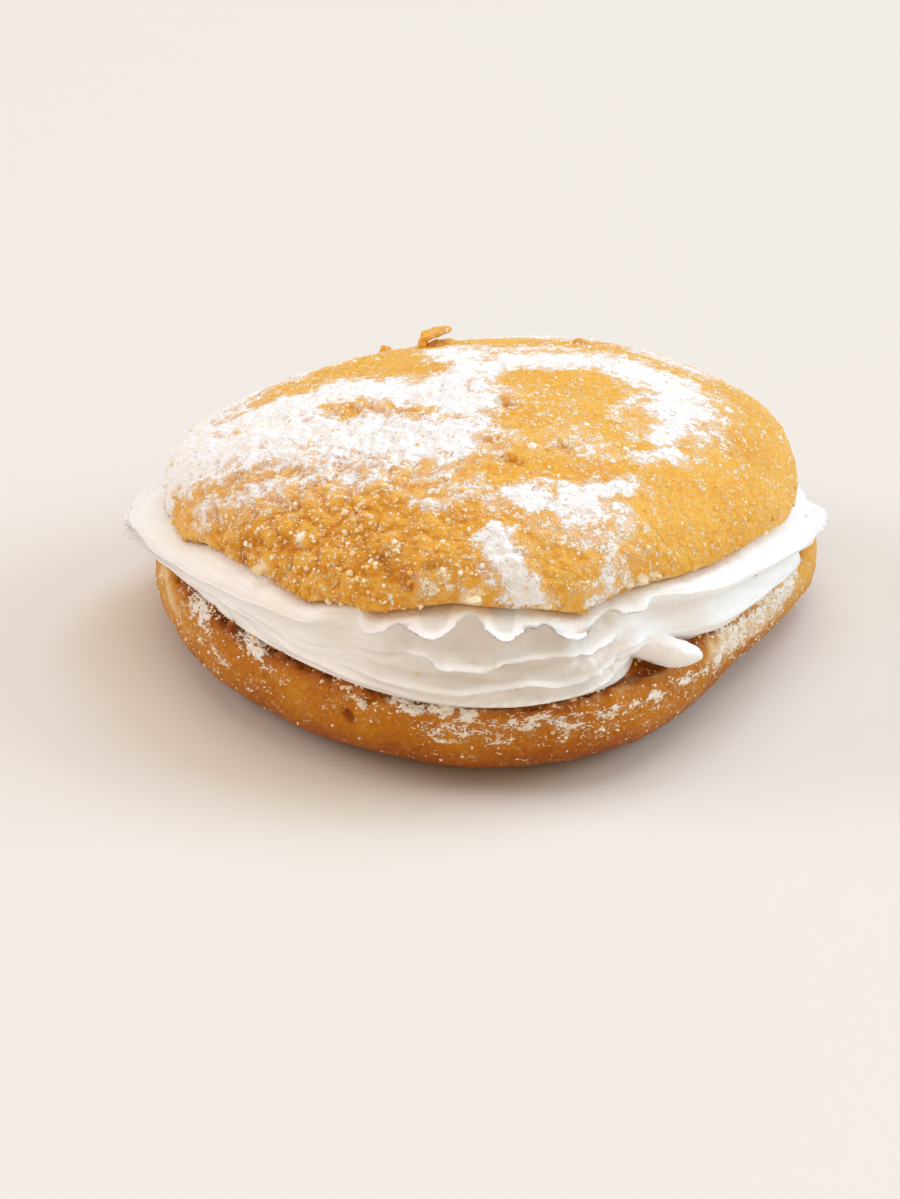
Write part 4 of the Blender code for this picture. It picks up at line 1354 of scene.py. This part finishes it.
# %% The Wire class
class Wire:
    """The output of a node, which takes part in sums like a number."""

    tree = None

    def __init__(self, socket):
        self.socket = socket

    @classmethod
    def node(cls, kind, settings=None, values=None, output=0):
        """A new node with its settings and the values or wires of its sockets."""
        node = cls.tree.nodes.new(kind)
        for name, value in (settings or {}).items():
            if name == "stops":
                ramp = node.color_ramp.elements
                while len(ramp) < len(value):
                    ramp.new(0.5)
                for element, (position, colour) in zip(ramp, value):
                    element.position = position
                    element.color = (*colour, 1)
            else:
                setattr(node, name, value)
        for name, value in (values or {}).items():
            cls.feed(node.inputs[name], value)
        return cls(node.outputs[output])

    @classmethod
    def feed(cls, socket, value):
        """Gives a socket a wire, a colour or a number."""
        if isinstance(value, Wire):
            cls.tree.links.new(value.socket, socket)
        elif socket.type == "RGBA":
            socket.default_value = (*value, 1)
        else:
            socket.default_value = value

    @staticmethod
    def maths(operation, first, second):
        return Wire.node("ShaderNodeMath", {"operation": operation}, {0: first, 1: second})

    def __add__(self, other):
        return self.maths("ADD", self, other)

    def __radd__(self, other):
        return self.maths("ADD", other, self)

    def __sub__(self, other):
        return self.maths("SUBTRACT", self, other)

    def __rsub__(self, other):
        return self.maths("SUBTRACT", other, self)

    def __mul__(self, other):
        return self.maths("MULTIPLY", self, other)

    def __rmul__(self, other):
        return self.maths("MULTIPLY", other, self)


# %% [markdown]
# Crust, cream and sugar need the same few tools: noise for patches and grain, cells for pores, a mask
# between two values, a mix of two colours, a ramp, a number stored with the mesh, and a bump. Each is
# one short function, so that a material reads like a recipe.

# %% Textures, masks and mixes
def surface():
    """Places on the object, in metres."""
    return Wire.node("ShaderNodeTexCoord", output="Object")


def part_of(place, axis):
    """One of the three numbers of a place: X, Y or Z."""
    return Wire.node("ShaderNodeSeparateXYZ", None, {0: place}, axis)


def noise_of(size, detail=3.0, roughness=0.5, stretch=None):
    """Noise with features of a size in metres, 0 to 1."""
    place = surface()
    if stretch:
        place = Wire.node("ShaderNodeVectorMath", {"operation": "MULTIPLY"}, {0: place, 1: stretch})
    return Wire.node("ShaderNodeTexNoise", None,
                     {"Vector": place, "Scale": 1 / size, "Detail": detail, "Roughness": roughness})


def cells_of(size):
    """The distance to the middle of the nearest of many cells, as a share of their size."""
    return Wire.node("ShaderNodeTexVoronoi", None,
                     {"Vector": surface(), "Scale": 1 / size}, "Distance")


def between(value, low, high):
    """0 below the low number, 1 above the high one, smooth between."""
    return Wire.node("ShaderNodeMapRange", {"interpolation_type": "SMOOTHSTEP"},
                     {"Value": value, "From Min": low, "From Max": high}, "Result")


def painted(factor, first, second):
    """The first colour where the factor is 0, the second where it is 1."""
    return Wire.node("ShaderNodeMix", {"data_type": "RGBA"}, {0: factor, 6: first, 7: second}, 2)


def ramp(value, *stops):
    """A colour for a value: each stop is (value, colour)."""
    return Wire.node("ShaderNodeValToRGB", {"stops": stops}, {"Fac": value}, "Color")


def stored(name):
    """A number that was stored with the mesh."""
    return Wire.node("ShaderNodeAttribute", {"attribute_name": name}, output="Fac")


def raised(height, distance, strength):
    """A bump of a height map: 1 in the map is the distance in metres."""
    return Wire.node(
        "ShaderNodeBump", None, {"Height": height, "Distance": distance, "Strength": strength}
    )


def new_material(name, **values):
    """A Principled material whose node tree is now the one being written, and a function that gives
    values to its sockets."""
    material = bpy.data.materials.new(name)
    material.use_nodes = True
    Wire.tree = material.node_tree
    inputs = material.node_tree.nodes["Principled BSDF"].inputs

    def give(**values):
        for socket, value in values.items():
            Wire.feed(inputs[socket.replace("_", " ")], value)

    give(**values)
    return material, give


# %% [markdown]
# ## Crust
#
# Baked crust runs from pale straw to deep brown. One number, the bake, chooses the colour: it mixes
# slow patches, a fine grain and the stored darkening, which is darker crust and, in the cracks, pits
# and creases, also painted shade. The powdered sugar is laid over it where the stored dusting,
# roughened by noise, passes a threshold, which leaves single bare specks in the white and single
# white specks on the crust. Small pale spots stand between them: partly drops of dried syrup and
# partly painted glints.

# %% The lid's material
BAKED_AT = (0.2, 0.42, 0.62, 0.85)  # the bake at which the crust has each of its four colours
SUGAR_EDGE = (0.56, 0.76)  # the roughened dusting at which the sugar starts and is full


def sugar_cover(dusting, flake, stretch):
    """Where powdered sugar hides the crust, 0 to 1. The flake is the size of its flakes in metres,
    and the stretch draws them out."""
    fine = noise_of(0.3 * flake, 2.0, 0.6, stretch) - 0.5
    middle = noise_of(flake, 2.0, 0.6, stretch) - 0.5
    coarse = noise_of(3.6 * MM, 2.0, 0.6) - 0.5
    return between(dusting + fine * 2.2 + middle * 2.6 + coarse * 0.8, *SUGAR_EDGE)


def crust_material(
    name, colours, deep, bake, sugar_colours, speck, flake, stretch, pale, haze, glaze, shine
):
    """Crust in four colours with sugar on it, from the mesh's layers: dusting, darkening and pale.
    Deep is the colour in the cracks, pits and torn rim, partly darker crust and partly painted shade,
    and pale where the crust did not brown. The speck is the colour of single grains and of small pale
    spots, which are partly drops of dried syrup and partly painted glints. The flake and stretch are
    those of the sugar, the haze is the thin film of it between its flakes, and the glaze how much
    syrup dried on the crust, which makes it paler."""
    material, give = new_material(
        name, IOR=1.45, Subsurface_Weight=0.14, Subsurface_Scale=0.0012, Specular_IOR_Level=shine,
        Subsurface_Radius=(1.0, 0.5, 0.2),
    )
    crack = stored("crack")
    # The stored darkening pushes the bake browner; in cracks, pits and creases it is partly painted
    # shade.
    crust = ramp(bake() + crack * 0.5, *zip(BAKED_AT, colours))
    crust = painted(between(stored("pale"), 0.2, 0.9) * 0.85, crust, pale)
    dried = between(noise_of(0.7 * MM, 2.0, 0.6), 0.52, 0.68)
    crust = painted(dried * glaze, crust, colours[0])
    # Pale spots in the middles of small cells: partly drops of dried syrup, partly painted glints.
    beads_and_glints = between(cells_of(0.9 * MM), 0.4, 0.24)
    beads_and_glints = beads_and_glints * between(noise_of(3.2 * MM, 2.0, 0.6), 0.42, 0.62)
    crust = painted(beads_and_glints * glaze * 1.6, crust, speck)
    # Deep colour in cracks, pits and the torn rim: partly darker crust, partly painted shade.
    crust = painted(between(crack, 0.25, 0.9) * 0.8, crust, deep)
    dusting = stored("dusting")
    crust = painted(between(dusting, 0.2, 0.95) * haze, crust, sugar_colours[0])
    white = sugar_cover(dusting, flake, stretch)
    sugar = painted(noise_of(0.3 * MM, 1.0), *sugar_colours)
    sugar = painted(between(dusting, 0.75, 0.3) * 0.75, sugar, speck)
    height = noise_of(0.55 * MM, 3.0, 0.6) * 0.8 + cells_of(1.0 * MM) * 0.5 + beads_and_glints * glaze
    height = height + white * 0.5 * noise_of(0.3 * MM, 2.0, 0.7)
    give(
        Base_Color=painted(white, crust, sugar),
        Roughness=0.3 + noise_of(1.2 * MM) * 0.25 + white * 0.4,
        Normal=raised(height, 0.4 * MM, 1.0),
    )
    return material


def lid_bake():
    """How far each place of the lid has baked towards brown."""
    return 0.11 + noise_of(11 * MM, 3.0, 0.55) * 0.30 + noise_of(0.9 * MM, 3.0, 0.65) * 0.40


dress(lid, crust_material(
    "lid crust",
    ((0.93, 0.64, 0.23), (0.86, 0.46, 0.06), (0.74, 0.315, 0.016), (0.50, 0.155, 0.005)),
    (0.42, 0.125, 0.006),
    lid_bake,
    ((0.98, 0.965, 0.95), (1.0, 1.0, 1.0)),
    speck=(0.96, 0.77, 0.50),
    flake=1.5 * MM,
    stretch=(1, 1, 1),
    pale=(0.95, 0.84, 0.62),
    haze=0.46,
    glaze=0.34,
    shine=0.27,
))
print("nodes in the lid's crust:", len(Wire.tree.nodes))

# %% [markdown]
# The lower half is browner than the lid, most of all near the floor, and paler at its left and right
# ends. It takes the same recipe with other numbers. The flakes of its sugar are long round the bun
# and short up its side.

# %% The heel's material
def heel_bake():
    """The same for the heel, which is browner near the floor and paler at its left and right."""
    across = part_of(surface(), "X")
    ends = between(across * across, (34 * MM) ** 2, (50 * MM) ** 2)
    low = between(part_of(surface(), "Z"), 10 * MM, 1 * MM)
    brown = 0.16 + noise_of(9 * MM, 3.0, 0.55) * 0.34 + noise_of(1.0 * MM, 3.0, 0.65) * 0.28
    return brown + low * 0.26 - ends * 0.18


dress(heel, crust_material(
    "heel crust",
    ((0.78, 0.41, 0.05), (0.57, 0.21, 0.007), (0.38, 0.095, 0.003), (0.18, 0.04, 0.002)),
    (0.20, 0.05, 0.005),
    heel_bake,
    ((0.94, 0.84, 0.72), (1.0, 0.97, 0.93)),
    speck=(0.88, 0.62, 0.32),
    flake=1.0 * MM,
    stretch=(0.6, 0.6, 1.3),
    pale=(0.90, 0.68, 0.36),
    haze=0.06,
    glaze=0.12,
    shine=0.16,
))
print("nodes in the heel's crust:", len(Wire.tree.nodes))

# %% [markdown]
# ## Cream and sugar
#
# Cream scatters light inside it, which softens every shadow, so its material needs subsurface
# scattering. Its bump is fluffy, with fine lines round the bun from the nozzle. Grains of sugar take
# their colours from the tint stored with each of them: amber where syrup stained them, up to white.

# %% Cream, crystals and powder
WHIPPED = ((0.92, 0.91, 0.895), (0.96, 0.955, 0.95))
PAINTED_SHADE_COLOUR = (0.78, 0.755, 0.72)  # painted shade on the front wall of the cream
cream_material, give = new_material(
    "whipped cream", Subsurface_Weight=0.15, Subsurface_Scale=0.0009, IOR=1.4, Roughness=0.45,
    Subsurface_Radius=(1.0, 0.8, 0.6),
)
# The front wall of the cream is painted greyer as shade, under the lid and between the lips.
shade_mix = between(stored("smeared"), 0.0, 0.8) * (0.75 + noise_of(3 * MM, 2.0) * 0.5)
lines = noise_of(1.0 * MM, 2.0, 0.5, (0.12, 0.12, 2.2))
fluff = noise_of(1.8 * MM, 3.0, 0.6) * 2.2 + noise_of(0.5 * MM, 2.0) * 0.5
give(
    Base_Color=painted(shade_mix, painted(noise_of(5 * MM, 2.0), *WHIPPED), PAINTED_SHADE_COLOUR),
    Normal=raised(lines + fluff, 0.16 * MM, 0.8),
)
dress(cream, cream_material)

# (piece, name of its material, colours of its grains at tints from 0 to 1, other values)
GRAINS = (
    (
        crystals,
        "sugar crystal",
        ((0.0, (0.88, 0.52, 0.12)), (0.5, (0.92, 0.68, 0.32)), (0.85, (0.96, 0.86, 0.66)),
         (1.0, (0.99, 0.96, 0.90))),
        {"Roughness": 0.16, "IOR": 1.5, "Specular_IOR_Level": 0.5},
    ),
    (
        powder,
        "powdered sugar",
        ((0.0, (0.98, 0.84, 0.62)), (1.0, (1.0, 0.99, 0.97))),
        {"Roughness": 0.85},
    ),
    (
        glints,
        "sugar glint",
        ((0.0, (0.96, 0.66, 0.26)), (0.6, (0.98, 0.82, 0.52)), (1.0, (1.0, 0.96, 0.88))),
        {"Roughness": 0.35, "IOR": 1.45, "Specular_IOR_Level": 0.25},
    ),
    (
        heel_sugar,
        "sugar on the heel",
        ((0.0, (0.84, 0.55, 0.24)), (0.5, (0.93, 0.80, 0.65)), (1.0, (0.98, 0.93, 0.87))),
        {"Roughness": 0.35, "IOR": 1.5},
    ),
    (
        crumbs,
        "crust crumbs",
        ((0.0, (0.62, 0.28, 0.04)), (0.4, (0.76, 0.38, 0.05)), (0.75, (0.90, 0.62, 0.22)),
         (1.0, (0.95, 0.82, 0.58))),
        {"Roughness": 0.55},
    ),
)
for piece, name, stops, values in GRAINS:
    material, give = new_material(name, **values)
    give(Base_Color=ramp(stored("tint"), *stops))
    dress(piece, material)
print("materials:", sorted(material.name for material in bpy.data.materials))

# %% [markdown]
# ## Put every piece on the frame
#
# The solid was moved so that its origin lies below the middle of its box. We find the same move by
# laying our heel's box on the box of the imported heel, then hang every piece on one empty and hide
# each imported solid that a dressed piece stands for.

# %% Placing
heel_low, heel_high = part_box("bun_bottom")
low = heel_vertices.min(axis=0)
high = heel_vertices.max(axis=0)
shift = [(heel_low[axis] + heel_high[axis]) / 2 - (low[axis] + high[axis]) / 2 for axis in (0, 1)]
move = Matrix.Translation((*shift, 0))
print("moved by", [round(value / MM, 3) for value in shift], "mm")

PIECES = (
    (lid, "bun_top", "lid_crust"),
    (cream, "cream", "piped_cream"),
    (heel, "bun_bottom", "heel_crust"),
    (crystals, None, "lid_crust"),
    (powder, None, "lid_crust"),
    (glints, None, "lid_crust"),
    (heel_sugar, None, "heel_crust"),
    (crumbs, None, "heel_crust"),
)
for piece, node, slot in PIECES:
    piece.data.transform(move)
    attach(piece, "root")
    if node:
        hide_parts(node)
for piece in (lid, cream, heel):
    piece.data.shade_smooth()

# %% [markdown]
# ## Floor, light and camera
#
# The bun stands on a plain pale floor. The light is soft and bright: a warm even sky, large cool lamps
# behind and at both sides, like windows, one overhead, and a weak warm one in front. Lit and shaded
# sides then differ in warmth as well as in brightness. The lamps stand far off, so that the floor is
# lit evenly.

# %% Floor and light
FLOOR_COLOUR = (0.755, 0.715, 0.655)
bpy.ops.mesh.primitive_plane_add(size=12)
floor = bpy.context.object
floor.name = "floor"
floor_material, _ = new_material("pale floor", Roughness=0.6, Base_Color=FLOOR_COLOUR)
dress(floor, floor_material)
floor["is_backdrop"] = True


def softbox(name, place, size, power, colour):
    """A square lamp that faces the bun."""
    lamp = bpy.data.lights.new(name, "AREA")
    lamp.size = size
    lamp.energy = power
    lamp.color = colour
    box = bpy.data.objects.new(name, lamp)
    box.location = place
    box.rotation_euler = (-Vector(place)).to_track_quat("-Z", "Y").to_euler()
    bpy.context.scene.collection.objects.link(box)


# (name, place, size in metres, power in watts, colour)
LAMPS = (
    ("key", (2.2, 1.9, 4.2), 2.4, 100, (0.55, 0.68, 1.0)),
    ("right side", (4.0, 0.3, 2.2), 2.4, 110, (0.62, 0.84, 1.0)),
    ("left side", (-4.0, 0.5, 2.4), 2.4, 82, (0.85, 0.88, 1.0)),
    ("top", (-0.2, 0.5, 4.5), 3.0, 44, (0.97, 1.0, 0.93)),
    ("front fill", (0, -4.0, 2.0), 2.4, 31, (1.0, 0.70, 0.46)),
)
for lamp in LAMPS:
    softbox(*lamp)
print("lamps:", len(LAMPS), "with", sum(power for _, _, _, power, _ in LAMPS), "watts")

SKY_COLOUR = (1.0, 0.82, 0.62)
SKY_STRENGTH = 0.5
world = bpy.data.worlds.new("studio")
world.use_nodes = True
world.node_tree.nodes["Background"].inputs["Color"].default_value = (*SKY_COLOUR, 1)
world.node_tree.nodes["Background"].inputs["Strength"].default_value = SKY_STRENGTH
bpy.context.scene.world = world
bpy.context.scene.view_settings.view_transform = "Standard"

# %% [markdown]
# The photograph looks down at the bun through a long lens, which keeps the far side nearly as large
# as the near one. We step back along the line of sight from the point that the camera aims at.

# %% Camera
LOOK_DOWN = math.radians(27.3)
CAMERA_DISTANCE = 0.435
AIM = Vector((-4.74 * MM + shift[0], shift[1], 2.66 * MM))
FOCAL_LENGTH = 85  # in millimetres, for a sensor 36 mm wide
ahead = Vector((0, math.cos(LOOK_DOWN), -math.sin(LOOK_DOWN)))
lens = bpy.data.cameras.new("camera")
lens.lens = FOCAL_LENGTH
lens.sensor_width = 36
lens.clip_start = 0.01
camera = bpy.data.objects.new("camera", lens)
camera.location = AIM - ahead * CAMERA_DISTANCE
camera.rotation_euler = (math.radians(90) - LOOK_DOWN, 0, 0)
bpy.context.scene.collection.objects.link(camera)
bpy.context.scene.camera = camera
print("camera at", [round(value, 3) for value in camera.location])

# %% [markdown]
# ## The sizes of the solid and of the dressed model

# %% Sizes of the solid and of the dressed model
boxes = {
    "cad": [list(corner) for corner in cad_box],
    "visual": [list(corner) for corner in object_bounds()],
}
print("dressed size in mm:", [round(1000 * (high - low), 1) for low, high in zip(*boxes["visual"])])
